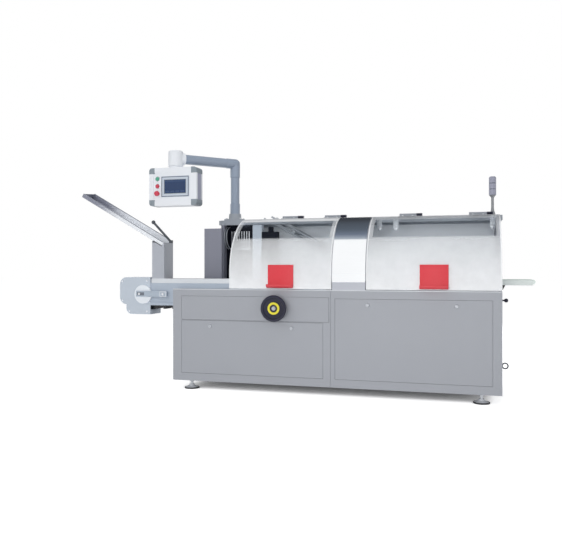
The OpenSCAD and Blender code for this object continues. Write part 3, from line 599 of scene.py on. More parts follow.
    # Both guards carry painted light: white strips at their ends, a white top band (strong on the left guard, faint
    # on the right) and a whiter foot that is partly a painted reflection.
    LEFT_CLEAR = ClearSheet("left_guard_clear_acrylic", srgb(252, 253, 255), 0.04,
                            ends=(-0.4593, 0.3637), top_highlight=0.85)
    RIGHT_CLEAR = ClearSheet("right_guard_clear_acrylic", srgb(252, 253, 255), 0.04,
                             ends=(0.6277, 1.5957), top_highlight=0.25)


class Bench:
    """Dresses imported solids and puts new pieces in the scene."""

    @staticmethod
    def dress(finish: Finish, *nodes: str) -> None:
        """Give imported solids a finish.

        Args:
            finish: The finish.
            *nodes: Names of the solids.
        """
        for name in nodes:
            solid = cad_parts[name]
            solid.data.materials.clear()
            solid.data.materials.append(finish.material())
            LOG.info("dressed %s with %s", name, finish.name)

    @staticmethod
    def put(name: str, body: str, slot: str, finish: Finish, shape: Shape) -> Piece:
        """Turn a modelled shape into a piece that rides a body.

        Args:
            name: The piece's name.
            body: The body it moves with.
            slot: The record's material slot; not used.
            finish: Its finish.
            shape: The modelled shape, freed here.

        Returns:
            The new object.
        """
        for face in shape.faces:
            face.smooth = True
        for edge in shape.edges:
            edge.smooth = edge.calc_face_angle(0.0) < SMOOTH_ANGLE
        mesh = bpy.data.meshes.new(name)
        shape.to_mesh(mesh)
        shape.free()
        mesh.materials.append(finish.material())
        piece = bpy.data.objects.new(name, mesh)
        bpy.context.scene.collection.objects.link(piece)
        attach(piece, body)
        LOG.info("piece %s on %s", name, body)
        return piece


class Forge:
    """Models the small solid shapes with mesh operators; sizes are in millimetres of the drawing."""

    @staticmethod
    def turned(outline: Sequence[Pair], steps: int) -> Shape:
        """Spin a half outline round the z axis.

        Args:
            outline: Points as radius and height, from the axis back to the axis.
            steps: Number of steps round.

        Returns:
            The closed turned shape at the origin, in metres.
        """
        shape = bmesh.new()
        points = [shape.verts.new((r / 1000, 0.0, h / 1000)) for r, h in outline]
        edges = [shape.edges.new(pair) for pair in zip(points, points[1:])]
        bmesh.ops.spin(shape, geom=points + edges, cent=(0, 0, 0), axis=(0, 0, 1), dvec=(0, 0, 0),
                       angle=2 * math.pi, steps=steps, use_merge=True, use_duplicate=False)
        bmesh.ops.remove_doubles(shape, verts=shape.verts[:], dist=1e-6)
        bmesh.ops.recalc_face_normals(shape, faces=shape.faces[:])
        return shape

    @staticmethod
    def copies(shape: Shape, spots: Sequence[Point], axis: Axis) -> Shape:
        """Set copies of a shape at several spots.

        Args:
            shape: The shape round the z axis, freed here.
            spots: The spots in the drawing's millimetres.
            axis: The direction in which the shape's z axis points.

        Returns:
            One shape with every copy.
        """
        mesh = bpy.data.meshes.new("copies")
        shape.to_mesh(mesh)
        shape.free()
        turn = Vector((0, 0, 1)).rotation_difference(axis.vector).to_matrix().to_4x4()
        joined = bmesh.new()
        for spot in spots:
            one = mesh.copy()
            one.transform(Matrix.Translation(at(*spot)) @ turn)
            joined.from_mesh(one)
            bpy.data.meshes.remove(one)
        bpy.data.meshes.remove(mesh)
        return joined

    @classmethod
    def bolts(cls, radius: float, height: float, spots: Sequence[Point], axis: Axis) -> Shape:
        """Make socket-head bolts with the foot of each head at a spot, standing out along an axis."""
        head = [(0, 0.4 * height), (0.48 * radius, 0.4 * height), (0.52 * radius, height), (0.84 * radius, height),
                (0.96 * radius, 0.92 * height), (radius, 0.7 * height), (radius, 0), (0, 0)]
        return cls.copies(cls.turned(head, 18), spots, axis)

    @classmethod
    def rings(cls, inner: float, outer: float, height: float, spots: Sequence[Point], axis: Axis) -> Shape:
        """Make round collars with a rolled edge.

        Args:
            inner: Inner radius.
            outer: Outer radius.
            height: Height of the collar.
            spots: Middle of each collar's foot.
            axis: The way the collars stand out.

        Returns:
            The collars as one shape.
        """
        edge = 0.25 * min(height, outer - inner)
        ring = [(inner, 0), (inner, height - edge), (inner + edge, height), (outer - edge, height),
                (outer, height - edge), (outer, 0), (inner, 0)]
        return cls.copies(cls.turned(ring, 40), spots, axis)

    @staticmethod
    def _rounded(shape: Shape, edges: Sequence[bmesh.types.BMEdge], radius: float) -> None:
        """Round some edges of a shape by a radius in millimetres."""
        bmesh.ops.bevel(shape, geom=edges, offset=radius / 1000, offset_type="OFFSET", segments=3,
                        profile=0.5, affect="EDGES", material=-1)

    @staticmethod
    def _grown(shape: Shape, faces: Sequence[bmesh.types.BMFace], move: Vector) -> None:
        """Extrude some faces by a move in metres and turn all faces outward."""
        grown = bmesh.ops.extrude_face_region(shape, geom=faces)["geom"]
        bmesh.ops.translate(shape, vec=move, verts=[v for v in grown if isinstance(v, bmesh.types.BMVert)])
        bmesh.ops.recalc_face_normals(shape, faces=shape.faces[:])

    @classmethod
    def bar(cls, low: Point, high: Point, edge: float) -> Shape:
        """Make a bar with rounded edges.

        Args:
            low: Its lowest corner.
            high: Its highest corner.
            edge: Radius of the edges.

        Returns:
            The bar.
        """
        shape = bmesh.new()
        size = (Vector(high) - Vector(low)) / 1000
        middle = (at(*low) + at(*high)) / 2
        bmesh.ops.create_cube(shape, size=1.0, matrix=Matrix.Translation(middle) @ Matrix.Diagonal((*size, 1.0)))
        cls._rounded(shape, shape.edges[:], edge)
        return shape

    @classmethod
    def rod(cls, start: Point, end: Point, radius: float) -> Shape:
        """Make a round rod with softened ends.

        Args:
            start: One end's middle.
            end: The other end's middle.
            radius: Radius of the rod.

        Returns:
            The rod.
        """
        reach = Vector(end) - Vector(start)
        long, soft = reach.length, 0.4 * radius
        half = [(0, 0), (radius - soft, 0), (radius, soft), (radius, long - soft), (radius - soft, long), (0, long)]
        shape = cls.turned(half, 14)
        turn = Vector((0, 0, 1)).rotation_difference(reach.normalized()).to_matrix().to_4x4()
        shape.transform(Matrix.Translation(at(*start)) @ turn)
        return shape

    @staticmethod
    def joined(shapes: Sequence[Shape]) -> Shape:
        """Put several shapes into one.

        Args:
            shapes: The shapes, freed here.

        Returns:
            One shape with all of them.
        """
        whole = bmesh.new()
        for shape in shapes:
            mesh = bpy.data.meshes.new("joined")
            shape.to_mesh(mesh)
            shape.free()
            whole.from_mesh(mesh)
            bpy.data.meshes.remove(mesh)
        return whole

    @staticmethod
    def bent_rod(points: Sequence[Point], radius: float, steps: int = 6, sides: int = 10) -> Shape:
        """Bend a round rod along a smooth downward curve through some points.

        Args:
            points: The points in the drawing's millimetres.
            radius: Radius of the rod.
            steps: Steps from one point to the next.
            sides: Sides of the rod.

        Returns:
            The rod.
        """
        knots = [at(*spot) for spot in (points[0], *points, points[-1])]
        path: list[Vector] = []
        for a, b, c, d in zip(knots, knots[1:], knots[2:], knots[3:]):
            square, cube = 2 * a - 5 * b + 4 * c - d, 3 * b - a - 3 * c + d
            for t in (i / steps for i in range(steps)):
                path.append(0.5 * (2 * b + (c - a) * t + square * t ** 2 + cube * t ** 3))
        path.append(knots[-1])
        shape = bmesh.new()
        loops: list[list[bmesh.types.BMEdge]] = []
        for i, spot in enumerate(path):
            ahead = path[min(i + 1, len(path) - 1)] - path[max(i - 1, 0)]
            turn = Vector((0, 0, -1)).rotation_difference(ahead).to_matrix().to_4x4()
            ring = bmesh.ops.create_circle(shape, segments=sides, radius=radius / 1000,
                                           matrix=Matrix.Translation(spot) @ turn)
            loops.append(list(dict.fromkeys(edge for vert in ring["verts"] for edge in vert.link_edges)))
        for upper, lower in zip(loops, loops[1:]):
            bmesh.ops.bridge_loops(shape, edges=upper + lower)
        bmesh.ops.holes_fill(shape, edges=loops[0] + loops[-1], sides=sides)
        bmesh.ops.recalc_face_normals(shape, faces=shape.faces[:])
        return shape

    @classmethod
    def border(cls, low: Point, high: Point, width: float) -> Shape:
        """Make a flat rectangular border that stands up across the y axis.

        Args:
            low: Its lowest corner; the y is the front.
            high: Its highest corner; the y is the back.
            width: Width of the border.

        Returns:
            The border.
        """
        shape = bmesh.new()
        (x0, front, z0), (x1, back, z1) = low, high
        face = shape.faces.new([shape.verts.new(at(x, back, z)) for x, z in ((x0, z0), (x1, z0), (x1, z1), (x0, z1))])
        face.normal_update()
        bmesh.ops.inset_individual(shape, faces=[face], thickness=width / 1000, use_even_offset=True)
        bmesh.ops.delete(shape, geom=[face], context="FACES_ONLY")
        cls._grown(shape, shape.faces[:], Vector((0, (front - back) / 1000, 0)))
        return shape

    @classmethod
    def profile(cls, outline: Sequence[Pair], along: Pair, edge: float) -> Shape:
        """Extrude an outline of the y-z plane along x and round its sharp edges.

        Args:
            outline: Points as y and z.
            along: Start and end in x.
            edge: Radius of the rounding.

        Returns:
            The shape.
        """
        shape = bmesh.new()
        face = shape.faces.new([shape.verts.new(at(along[0], y, z)) for y, z in outline])
        cls._grown(shape, [face], Vector(((along[1] - along[0]) / 1000, 0, 0)))
        cls._rounded(shape, [e for e in shape.edges if e.calc_face_angle(0.0) > SHARP_ANGLE], edge)
        return shape


@dataclass
class Assembly:
    """A sub-assembly whose added pieces ride one body."""

    body: str = "machine"

    def put(self, name: str, slot: str, finish: Finish, shape: Shape) -> Piece:
        """Put a new piece on the sub-assembly's body."""
        return Bench.put(name, self.body, slot, finish, shape)

    def bolt(self, name: str, head: Pair, spots: Sequence[Point], axis: Axis = Axis.FRONT) -> Piece:
        """Put bright bolts on the sub-assembly's body; the head is its radius and height."""
        return self.put(name, "bright_fittings", Shop.BRIGHT, Forge.bolts(*head, spots, axis))


@dataclass
class Cabinet(Assembly):
    """The closed drive cabinet with its panels, table, latches and feet."""

    feet_x: Pair = (140.0, 2400.0)
    feet_y: Pair = (62.0, 838.0)
    sole_r: Pair = (52.0, 60.0)
    sole_high: float = 11.0

    def build(self) -> None:
        """Dress the cabinet and put rubber soles under its feet."""
        Bench.dress(Shop.CABINET, "cabinet_body", "upper_front_panel", "lower_front_panel", "right_front_panel",
                    "rear_panels")
        Bench.dress(Shop.TABLE, "table_top")
        Bench.dress(Shop.LATCH, "panel_latches")
        Bench.dress(Shop.FOOT, "levelling_feet")
        spots = [(x, y, 0.0) for x in self.feet_x for y in self.feet_y]
        soles = Forge.rings(*self.sole_r, self.sole_high, spots, Axis.Z)
        self.put("foot_soles", "belt_rubber", Shop.CHAIN, soles)
        Bench.dress(Shop.RING, "end_ring")
        Bench.dress(Shop.BLACK, "end_knob")


@dataclass
class Handwheel(Assembly):
    """The black handwheel with its yellow ring and bright hub."""

    body: str = "handwheel_turn"
    collar_at: Point = (870.0, -65.0, 666.0)
    collar_r: Pair = (17.0, 30.0)
    collar_high: float = 3.0

    def build(self) -> None:
        """Dress the handwheel and set the collar round its hub."""
        Bench.dress(Shop.BLACK, "handwheel")
        Bench.dress(Shop.YELLOW, "handwheel_ring")
        collar = Forge.rings(*self.collar_r, self.collar_high, [self.collar_at], Axis.FRONT)
        self.put("wheel_collar", "black_plastic", Shop.BLACK, collar)
        Bench.dress(Shop.LATCH, "handwheel_hub")
        Bench.dress(Shop.UPRIGHT, "wheel_bearing")


@dataclass
class Hood(Assembly):
    """The hood's fixed frame, its centre cover and what stands inside."""

    eyes: tuple[Point, ...] = ((1609, 507, 1304), (1742, 507, 1304), (2494, 507, 1304))
    eye_pin: Pair = (15.0, 9.0)
    canopy: tuple[Point, Point] = ((221, 579, 1319), (477, 799, 1382.4))
    canopy_edge: float = 3.0
    roof_trims: tuple[tuple[Point, Point], ...] = (
        ((200, 516, 1354), (219.7, 867, 1394)), ((2540.3, 516, 1354), (2568, 867, 1394)))
    trim_edge: float = 2.5
    guide_x: Pair = (256.0, 276.0)
    guide_r: float = 3.5
    guide_run: tuple[Point, ...] = (
        (5, 581, 1338), (2, 545, 1327), (0, 508, 1286), (0, 507, 1223), (3, 541, 1168), (9, 577, 1146))
    drum_at: Point = (692.0, 465.0, 1285.0)
    drum_half: tuple[Pair, ...] = (
        (0, 0), (25, 0), (25, 12), (22, 14), (22, 18), (25, 20), (25, 36), (21, 42), (9, 46), (0, 46))

    def _inner_details(self) -> None:
        """Bend the folder's wire guides beside its comb and stand the feeder's drum on it."""
        wires = [Forge.bent_rod([(x + dx, y, z) for dx, y, z in self.guide_run], self.guide_r) for x in self.guide_x]
        self.put("folder_guides", "stainless", Shop.ROD, Forge.joined(wires))
        drum = Forge.copies(Forge.turned(self.drum_half, 32), [self.drum_at], Axis.Z)
        self.put("feeder_drum", "dark_metal", Shop.DARK, drum)

    def build(self) -> None:
        """Dress the hood and what stands in it, and add their details."""
        Bench.dress(Shop.HOOD, "hood_roof")
        Bench.dress(Shop.BASE, "centre_base")
        Bench.dress(Shop.HOUSING, "hood_right_end", "hood_left_post")
        # The rear wall's near-white inner face is painted light.
        Bench.dress(Shop.WALL_PAINTED_LIGHT, "hood_rear_wall")
        Bench.dress(Shop.BEAM, "hood_beams")
        Bench.dress(Shop.COVER, "centre_cover")
        Bench.dress(Shop.BLACK, "hinge_blocks")
        Bench.dress(Shop.UPRIGHT, "stay_brackets", "folder_fingers")
        self.bolt("stay_pins", self.eye_pin, self.eyes)
        Bench.dress(Shop.HOUSING, "folder_housing")
        Bench.dress(Shop.DARK, "leaflet_folder", "carton_feeder")
        self.put("folder_canopy", "dark_metal", Shop.DARK, Forge.bar(*self.canopy, self.canopy_edge))
        trims = Forge.joined([Forge.bar(*ends, self.trim_edge) for ends in self.roof_trims])
        self.put("roof_end_trims", "grey_paint", Shop.BEAM, trims)
        self._inner_details()
        Bench.dress(Shop.PALE, "magazine_post")
        Bench.dress(Shop.ROD, "carton_magazine")
        Bench.dress(Shop.STEEL, "carton_lane")


@dataclass
class Guards:
    """The two lifting clear guards with hinges and red handles."""

    leaf_y: float = 481.0
    leaf_top: float = 1399.0
    leaf_bolt: Pair = (8.0, 6.0)
    leaf_bolts_in: Pair = (28.0, 106.0)
    leaves: tuple[tuple[str, float, float], ...] = (("left", 784.0, 1152.0), ("right", 1772.0, 2315.0))
    handle_x: tuple[tuple[str, Pair], ...] = (("left", (806.0, 1011.0)), ("right", (1966.0, 2171.0)))
    handle_z: Pair = (822.0, 1002.0)
    handle_edge: float = 1.6
    lip: float = 30.0
    wall: float = 5.0

    def _bend(self, radius: float) -> list[Pair]:
        """Draw the half circle of the lip at a radius, as y and z."""
        turn = [math.radians(180 + 15 * i) for i in range(13)]
        middle = self.handle_z[0] + self.lip
        return [(-self.lip + radius * math.cos(a), middle + radius * math.sin(a)) for a in turn]

    def _handle(self, side: str, along: Pair) -> None:
        """Mould one pull with a rounded lip in place of the plain one.

        Args:
            side: The guard's side.
            along: Start and end of the pull in x.
        """
        top = self.handle_z[1]
        outline = self._bend(self.lip) + [(0.0, top), (-self.wall, top)] + self._bend(self.lip - self.wall)[::-1]
        pull = Forge.profile(outline, along, self.handle_edge)
        piece = Bench.put(f"{side}_guard_pull", f"{side}_guard_door", "red_plastic", Shop.RED, pull)
        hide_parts(f"{side}_guard_handle")

    def build(self) -> None:
        """Dress the guards, bolt their hinge leaves and mould their pulls."""
        for side, *starts in self.leaves:
            spots = [(x + step, self.leaf_y, self.leaf_top) for x in starts for step in self.leaf_bolts_in]
            Assembly(f"{side}_guard_door").bolt(f"{side}_leaf_bolts", self.leaf_bolt, spots, Axis.Z)
        for side, along in self.handle_x:
            self._handle(side, along)
        Bench.dress(Shop.LEFT_CLEAR, "left_guard")
        Bench.dress(Shop.RIGHT_CLEAR, "right_guard")
        Bench.dress(Shop.HINGE, "left_guard_hinges", "right_guard_hinges")
        Bench.dress(Shop.RED, "left_guard_handle", "right_guard_handle")


@dataclass
class Infeed(Assembly):
    """The bucket conveyor with its end cover, hopper and trough."""

    chain_z: float = 758.0
    chain_side: float = 160.0
    pin_pitch: float = 25.4
    pin_run: Pair = (-308.0, 1105.0)
    pin_levels: Pair = (672.0, 844.0)
    pin_half: tuple[Pair, ...] = ((0, 3), (3, 3), (4.5, 2), (4.5, -1), (0, -1))
    cover_front: float = 84.0
    screws: tuple[Pair, ...] = ((-505, 866), (-505, 704), (-440, 616), (-276, 616), (-276, 872))
    screw_head: Pair = (7.0, 4.0)
    bar_front: float = 60.0
    bar_raise: float = 1.5
    slot_x: Pair = (-356.0, -292.0)
    slot_z: Pair = (-9.0, 17.0)
    edge_x: Pair = (-150.0, -90.0)
    edge_z: Pair = (-17.0, 25.0)
    edge_wide: float = 5.0
    take_up_x: Pair = (-335.0, -120.0)
    take_up_lift: float = 4.0
    take_up_head: Pair = (10.0, 7.0)
    skirt: tuple[Point, Point] = ((-246, 82, 667), (-1, 85.2, 691))
    cover_lip: tuple[Point, Point] = ((-250, 90.3, 595.7), (-247, 269.7, 629))
    trough_foot: Pair = (-150.0, 1158.0)
    trough_deg: float = 29.7
    trough_long: float = 872.0
    trough_y: Pair = (99.0, 261.0)
    trough_walls: Pair = (35.0, 52.0)
    trough_sheet: float = 3.0
    trough_bend: float = 14.0
    end_plate_in: Pair = (6.0, 3.0)
    hem_r: float = 3.4
    hem_in: Pair = (4.0, 1.5)

    def _slope(self, along: float, y: float, height: float) -> Point:
        """Turn a place on the trough into the drawing's frame.

        Args:
            along: Distance up the trough from its foot.
            y: Distance behind the cabinet's front face.
            height: Height square to the trough's floor.

        Returns:
            The point in millimetres.
        """
        turn = math.radians(self.trough_deg)
        x0, z0 = self.trough_foot
        x = x0 - along * math.cos(turn) + height * math.sin(turn)
        return x, y, z0 + along * math.sin(turn) + height * math.cos(turn)

    def _bend(self, inset: float) -> list[Pair]:
        """Draw the trough's section from the near wall's top to the far wall's top.

        Args:
            inset: Distance inward from the sheet's outer face.

        Returns:
            The points as y and height.
        """
        near, far, r = self.trough_y[0] + inset, self.trough_y[1] - inset, self.trough_bend - inset
        turn = [math.radians(15 * i) for i in range(7)]
        near_bend = [(near + r - r * math.cos(a), inset + r - r * math.sin(a)) for a in turn]
        far_bend = [(far - r + r * math.sin(a), inset + r - r * math.cos(a)) for a in turn]
        return [(near, self.trough_walls[0]), *near_bend, *far_bend, (far, self.trough_walls[1])]

    def _lay(self, outline: Sequence[Pair], along: Pair, edge: float) -> Shape:
        """Extrude a section up the trough's slope.

        Args:
            outline: The section as y and height.
            along: Start and end up the slope.
            edge: Radius of the rounding.

        Returns:
            The shape in its place.
        """
        foot = Vector(self._slope(0, 0, 0))
        sides = (Vector(self._slope(1, 0, 0)) - foot, Axis.Y.vector, Vector(self._slope(0, 0, 1)) - foot)
        shape = Forge.profile(outline, along, edge)
        turn = Matrix(sides).transposed().to_4x4()
        shape.transform(Matrix.Translation(at(*foot)) @ turn @ Matrix.Translation(-at(0, 0, 0)))
        bmesh.ops.recalc_face_normals(shape, faces=shape.faces[:])
        return shape

    def _trough(self) -> None:
        """Bend the sheet trough with round corners and rolled hems in place of the plain one."""
        (near, far), (low, high), long = self.trough_y, self.trough_walls, self.trough_long
        section = self._bend(0.0) + self._bend(self.trough_sheet)[::-1]
        trough = self.put("bent_trough", "stainless", Shop.TROUGH, self._lay(section, (0.0, long), 1.0))
        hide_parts("infeed_trough")
        section = [(near + 1, 2), (far - 1, 2), (far - 1, high - 1), (near + 1, low - 1)]
        start, end = (long - inset for inset in self.end_plate_in)
        self.put("trough_end_plate", "stainless", Shop.TROUGH, self._lay(section, (start, end), 0.8))
        short, inset = self.hem_in
        for name, y, height in (("near_hem", near + inset, low), ("far_hem", far - inset, high)):
            hem = Forge.rod(self._slope(short, y, height), self._slope(long - short, y, height), self.hem_r)
            self.put(name, "stainless", Shop.HEM, hem)

    def _take_up_box(self, x: Pair, z: Pair) -> tuple[Point, Point]:
        """Return the corners of a flat box on the take-up bar's face, from its x and its z about the chain."""
        front, back = self.bar_front - self.bar_raise, self.bar_front + 0.5
        return (x[0], front, self.chain_z + z[0]), (x[1], back, self.chain_z + z[1])

    def _details(self) -> None:
        """Add the chain's pins, the cover's screws and lip, the take-up bar's details, the skirt and the trough."""
        first, last = self.pin_run
        steps = range(int((last - first) / self.pin_pitch) + 1)
        spots = [(first + i * self.pin_pitch, self.chain_side, z) for i in steps for z in self.pin_levels]
        pins = Forge.copies(Forge.turned(self.pin_half, 10), spots, Axis.FRONT)
        self.put("chain_pins", "bright_fittings", Shop.BRIGHT, pins)
        self.bolt("cover_screws", self.screw_head, [(x, self.cover_front, z) for x, z in self.screws])
        # The slot is a flat dark grey bar: painted shade where the opening is.
        slot = Forge.bar(*self._take_up_box(self.slot_x, self.slot_z), 0.9)
        self.put("take_up_slot", "dark_metal", Shop.SLOT, slot)
        edge = Forge.border(*self._take_up_box(self.edge_x, self.edge_z), self.edge_wide)
        self.put("take_up_edge", "stainless", Shop.UPRIGHT, edge)
        self.put("plate_skirt", "pale_metal", Shop.PLATE, Forge.bar(*self.skirt, 0.8))
        self.put("cover_return", "pale_metal", Shop.PALE, Forge.bar(*self.cover_lip, 1.0))
        self._trough()
        seats = zip(self.take_up_x, (self.bar_front - self.bar_raise, self.bar_front))
        self.bolt("take_up_bolts", self.take_up_head, [(x, y, self.chain_z + self.take_up_lift) for x, y in seats])

    def build(self) -> None:
        """Dress the infeed and add its details."""
        self._details()
        Bench.dress(Shop.PALE, "conveyor_end_cover")
        Bench.dress(Shop.PLATE, "conveyor_plates")
        Bench.dress(Shop.CHUTE, "hopper")
        Bench.dress(Shop.STEEL, "conveyor_guides")
        Bench.dress(Shop.BAR, "take_up_bar")
        Bench.dress(Shop.TROUGH, "infeed_trough")
        Bench.dress(Shop.NYLON, "chain_wheels", "idler_disc")
        Bench.dress(Shop.CHAIN, "bucket_chain", "bucket_lugs")
        Bench.dress(Shop.LEVER, "trough_lever")


@dataclass
class OperatorPanel(Assembly):
    """The swinging operator panel on its arm."""

    body: str = "operator_panel"
    middle_x: float = -57.0
    foot_z: float = 1497.0
    face_y: float = 117.0
    rim_y: float = 113.0
    bezel_y: float = 111.0
    bezel: tuple[float, float, float, float] = (-160.0, 1570.0, 90.0, 1742.0)
    bezel_line: float = 6.5
    screen: tuple[float, float, float, float] = (-129.0, 1602.0, 59.0, 1710.0)
    screen_line: float = 5.0
    key_step: float = 45.0
    key_x: Pair = (6.0, 44.0)
    key_z: Pair = (6.0, 20.0)
    controls_x: float = -196.0
    button_z: tuple[float, float, float] = (1723.0, 1662.0, 1600.0)
    collar: Point = (17.5, 21.5, 3.5)
    stop_collar: Point = (20.0, 28.0, 3.0)
    side_x: tuple[tuple[str, float], ...] = (("left", -272.0), ("right", 155.0))
    side_y: Pair = (138.0, 213.0)
    side_z: Pair = (50.5, 267.5)
    corner_reach: Pair = (194.0, 138.0)
    corner_middle: float = 159.0
    corner_screw: Pair = (5.5, 2.5)
    post: Point = (325.0, 585.0, 1409.0)
    flange_bolts: Pair = (64.0, 45.0)
    flange_head: Pair = (9.0, 8.0)

    def _display(self) -> None:
        """Add the outlines of bezel and screen and the display's fields."""
        y, line = self.bezel_y, self.screen_line
        x0, z0, x1, z1 = self.bezel
        outline = Forge.border((x0 + 2, y - 0.6, z0 + 2), (x1 - 2, y + 0.3, z1 - 2), self.bezel_line)
        self.put("bezel_outline", "bezel_plastic", Shop.OUTLINE, outline)
        x0, z0, x1, z1 = self.screen
        outline = Forge.border((x0 - line, y - 0.8, z0 - line), (x1 + line, y + 0.3, z1 + line), line)
        self.put("screen_outline", "bezel_plastic", Shop.OUTLINE, outline)
        (left, right), (low, high) = self.key_x, self.key_z
        keys = [x0 + i * self.key_step for i in range(4)]
        fields = [(x0 + 4, z1 - 15, x1 - 4, z1 - 4)] + [(x + left, z0 + low, x + right, z0 + high) for x in keys]
        shape = Forge.joined([Forge.bar((a, y + 0.5, b), (c, y + 1.5, d), 0.3) for a, b, c, d in fields])
        self.put("screen_fields", "screen_glass", Shop.FIELD, shape)

    def _face(self) -> None:
        """Add the display's details, the buttons' collars, the side plates in lavender grey that paints the shade of
        the panel's sides, and the corner screws.
        """
        self._display()
        spots = [(self.controls_x, self.face_y, z) for z in self.button_z]
        collars = Forge.rings(*self.collar, spots[:2], Axis.FRONT)
        self.put("button_collars", "bright_fittings", Shop.BRIGHT, collars)
        self.put("stop_collar", "white_plastic", Shop.NYLON, Forge.rings(*self.stop_collar, spots[2:], Axis.FRONT))
        (front, back), (low, high) = self.side_y, (self.foot_z + z for z in self.side_z)
        for side, x in self.side_x:
            # The side plates' lavender grey is painted shade.
            plate = Forge.bar((x + 0.2, front, low), (x + 2.8, back, high), 0.8)
            self.put(f"{side}_side_plate", "corner_plastic", Shop.SIDE, plate)
        (dx, dz), middle = self.corner_reach, self.foot_z + self.corner_middle
        corners = [(self.middle_x + x, self.rim_y, middle + z) for x in (-dx, dx) for z in (-dz, dz)]
        screws = Forge.bolts(*self.corner_screw, corners, Axis.FRONT)
        self.put("corner_screws", "corner_plastic", Shop.CORNER, screws)

    def build(self) -> None:
        """Dress the panel and its arm and add their details."""
        self._face()
        (x, y, z), (dx, dy) = self.post, self.flange_bolts
        spots = [(x + a, y + b, z) for a in (-dx, dx) for b in (-dy, dy)]
        Assembly("machine").bolt("flange_bolts", self.flange_head, spots, Axis.Z)
        Bench.dress(Shop.HOOD, "arm_base")
        Bench.dress(Shop.ARM, "arm")
        Bench.dress(Shop.WHITE, "arm_coupling", "panel_box")
        Bench.dress(Shop.CORNER, "panel_corners")
        Bench.dress(Shop.BEZEL, "panel_bezel")
        Bench.dress(Shop.SCREEN, "panel_screen")
        Bench.dress(Shop.GREEN, "panel_start_button")
        Bench.dress(Shop.STOP, "panel_stop_button", "panel_emergency_stop")


@dataclass
class Outlet(Assembly):
    """The outlet belt and the signal tower."""

    tower_at: Pair = (2495.0, 575.0)
    gasket: Point = (24.0, 26.0, 4.0)
    lens_z: float = 1554.0
    lens_pitch: float = 47.0

    def build(self) -> None:
        """Dress the outlet end and add the tower's gaskets."""
        spots = [(*self.tower_at, self.lens_z + i * self.lens_pitch) for i in range(3)]
        self.put("tower_gaskets", "black_plastic", Shop.CHAIN, Forge.rings(*self.gasket, spots, Axis.Z))
        Bench.dress(Shop.OUTLET, "outlet_conveyor")
        Bench.dress(Shop.BELT, "outlet_belt")
        Bench.dress(Shop.TOWER, "signal_tower")


@dataclass(frozen=True)
class Lamp:
    """A soft square lamp: its name, its place and side in metres, and its power in watts."""

    name: str
    place: Point
    watts: float
    side: float

    def hang(self, aim: Point) -> None:
        """Hang the lamp, unseen in reflections.

        Args:
            aim: The point that it looks at.
        """
        light = bpy.data.lights.new(self.name, "AREA")
        light.energy, light.size = self.watts, self.side
        lamp = bpy.data.objects.new(self.name, light)
        lamp.location = self.place
        lamp.rotation_mode = "QUATERNION"
        lamp.rotation_quaternion = (Vector(aim) - Vector(self.place)).to_track_quat("-Z", "Y")
        lamp.visible_glossy = False
        bpy.context.scene.collection.objects.link(lamp)


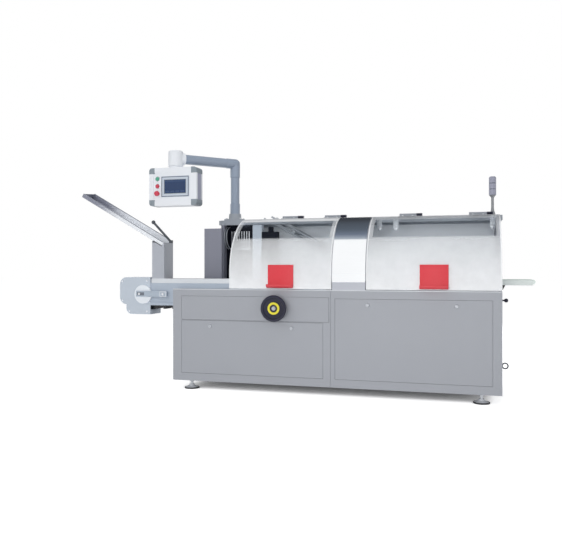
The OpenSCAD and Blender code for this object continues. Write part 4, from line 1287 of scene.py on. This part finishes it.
@dataclass
class Studio:
    """The pale floor, soft light, dark ceiling for reflections, and the camera."""

    lens_mm: float = 41.83
    camera_at: Point = (1.3417, -5.2865, 0.975)
    camera_turn_deg: float = 15.75
    camera_shift: float = -0.01726
    floor_half: float = 40.0
    floor_glow: float = 0.70
    contact_reach: float = 0.6
    contact_span: Pair = (0.015, 0.18)
    soft_level: float = 0.36
    aim: Point = (0.0, 0.0, 0.8)
    lamps: tuple[Lamp, ...] = (
        Lamp("key_light", (-3.2, -5.0, 4.4), 66.0, 3.5), Lamp("fill_light", (4.6, -4.2, 3.0), 34.0, 3.0),
        Lamp("front_light", (0.6, -6.5, 1.15), 112.0, 2.6), Lamp("top_light", (0.1, 0.2, 4.9), 64.0, 4.0),
        Lamp("rear_light", (0.4, 6.2, 2.6), 95.0, 3.5))
    ceiling_half: float = 9.0
    ceiling_z: float = 4.0
    ceiling_y: Pair = (-1.22, 9.0)
    ceiling_fade: float = 4.0

    def build(self) -> None:
        """Set up the studio."""
        self._world()
        self._floor()
        self._ceiling()
        for lamp in self.lamps:
            lamp.hang(self.aim)
        self._camera()
        bpy.context.scene.view_settings.view_transform = "Standard"

    def _world(self) -> None:
        """Make the white surround, dimmer where it lights the object."""
        world = bpy.data.worlds.new("studio_surround")
        bpy.context.scene.world = world
        world.use_nodes = True
        graph = Graph(world.node_tree)
        seen = world.node_tree.nodes["Background"]
        graph.fill(seen, {"Color": (1.0, 1.0, 1.0, 1.0), "Strength": 1.0})
        soft = graph.node("ShaderNodeBackground", {"Color": (0.97, 0.985, 1.0, 1.0), "Strength": self.soft_level})
        path = graph.node("ShaderNodeLightPath").outputs
        shown = graph.math("MAXIMUM", graph.math("MAXIMUM", path["Is Camera Ray"], path["Is Glossy Ray"]),
                           path["Is Transmission Ray"])
        graph.layered(shown, soft, seen, world.node_tree.nodes["World Output"])

    def _sheet(self, name: str, x: Pair, y: Pair, z: float) -> tuple[Piece, Graph]:
        """Lay one level studio sheet with a material of its own.

        Args:
            name: The sheet's name.
            x: Its ends in x.
            y: Its ends in y.
            z: Its height.

        Returns:
            The sheet and its material's graph.
        """
        shape = bmesh.new()
        middle = Matrix.Translation((sum(x) / 2, sum(y) / 2, z))
        spread = Matrix.Diagonal((x[1] - x[0], y[1] - y[0], 1.0, 1.0))
        bmesh.ops.create_grid(shape, x_segments=1, y_segments=1, size=0.5, matrix=middle @ spread)
        mesh = bpy.data.meshes.new(name)
        shape.to_mesh(mesh)
        shape.free()
        sheet = bpy.data.objects.new(name, mesh)
        bpy.context.scene.collection.objects.link(sheet)
        made = bpy.data.materials.new(f"{name}_finish")
        made.use_nodes = True
        mesh.materials.append(made)
        return sheet, Graph(made.node_tree)

    def _floor(self) -> None:
        """Lay the pale floor, white to the camera and still taking the shadow."""
        ends = (-self.floor_half, self.floor_half)
        _, graph = self._sheet("studio_floor", ends, ends, 0.0)
        shader = graph.tree.nodes["Principled BSDF"]
        path = graph.node("ShaderNodeLightPath").outputs
        seen = graph.math("MAXIMUM", path["Is Camera Ray"], path["Is Glossy Ray"])
        # The camera's glow fades with the ambient occlusion near the machine: a painted contact shadow.
        near = graph.node("ShaderNodeAmbientOcclusion", {"Distance": self.contact_reach}, samples=16).outputs["AO"]
        openness = graph.span(near, *self.contact_span, 0.0, 1.0)
        graph.fill(shader, {
            "Base Color": (0.86, 0.86, 0.86, 1.0), "Roughness": 0.9, "Specular IOR Level": 0.0,
            "Emission Color": (1.0, 1.0, 1.0, 1.0),
            "Emission Strength": graph.math("MULTIPLY", graph.math("MULTIPLY", seen, openness), self.floor_glow)})

    def _ceiling(self) -> None:
        """Hang the dark ceiling that only reflections show, paler towards its front edge."""
        front = self.ceiling_y[0]
        ends = (-self.ceiling_half, self.ceiling_half)
        sheet, graph = self._sheet("studio_ceiling", ends, self.ceiling_y, self.ceiling_z)
        depth = graph.span(graph.axes(graph.place())[1], front, front + self.ceiling_fade, 0.0, 1.0)
        ramp = graph.node("ShaderNodeValToRGB", {0: depth})
        first, last = ramp.color_ramp.elements
        first.position, first.color = 0.0, (0.42, 0.46, 0.52, 1.0)
        last.position, last.color = 1.0, (0.05, 0.055, 0.065, 1.0)
        for share, tone in ((0.17, (0.16, 0.19, 0.25, 1.0)), (0.35, (0.10, 0.12, 0.15, 1.0))):
            ramp.color_ramp.elements.new(share).color = tone
        glow = graph.node("ShaderNodeEmission", {"Color": ramp.outputs[0]})
        graph.feed(graph.tree.nodes["Material Output"].inputs["Surface"], glow.outputs[0])
        for kind in ("camera", "diffuse", "transmission", "volume_scatter", "shadow"):
            setattr(sheet, f"visible_{kind}", False)

    def _camera(self) -> None:
        """Stand the camera where the photograph was taken."""
        data = bpy.data.cameras.new("photo_camera")
        data.sensor_width = 36.0
        data.lens = self.lens_mm
        data.shift_y = self.camera_shift
        data.clip_end = 200.0
        camera = bpy.data.objects.new("photo_camera", data)
        camera.location = self.camera_at
        camera.rotation_euler = (math.pi / 2, 0.0, math.radians(self.camera_turn_deg))
        bpy.context.scene.collection.objects.link(camera)
        bpy.context.scene.camera = camera


def main() -> None:
    """Build every sub-assembly's looks, then the studio."""
    logging.basicConfig(level=logging.INFO, format="%(message)s")
    for assembly in (Cabinet(), Handwheel(), Hood(), Guards(), Infeed(), OperatorPanel(), Outlet()):
        assembly.build()
    Studio().build()


if __name__ == "__main__":
    main()
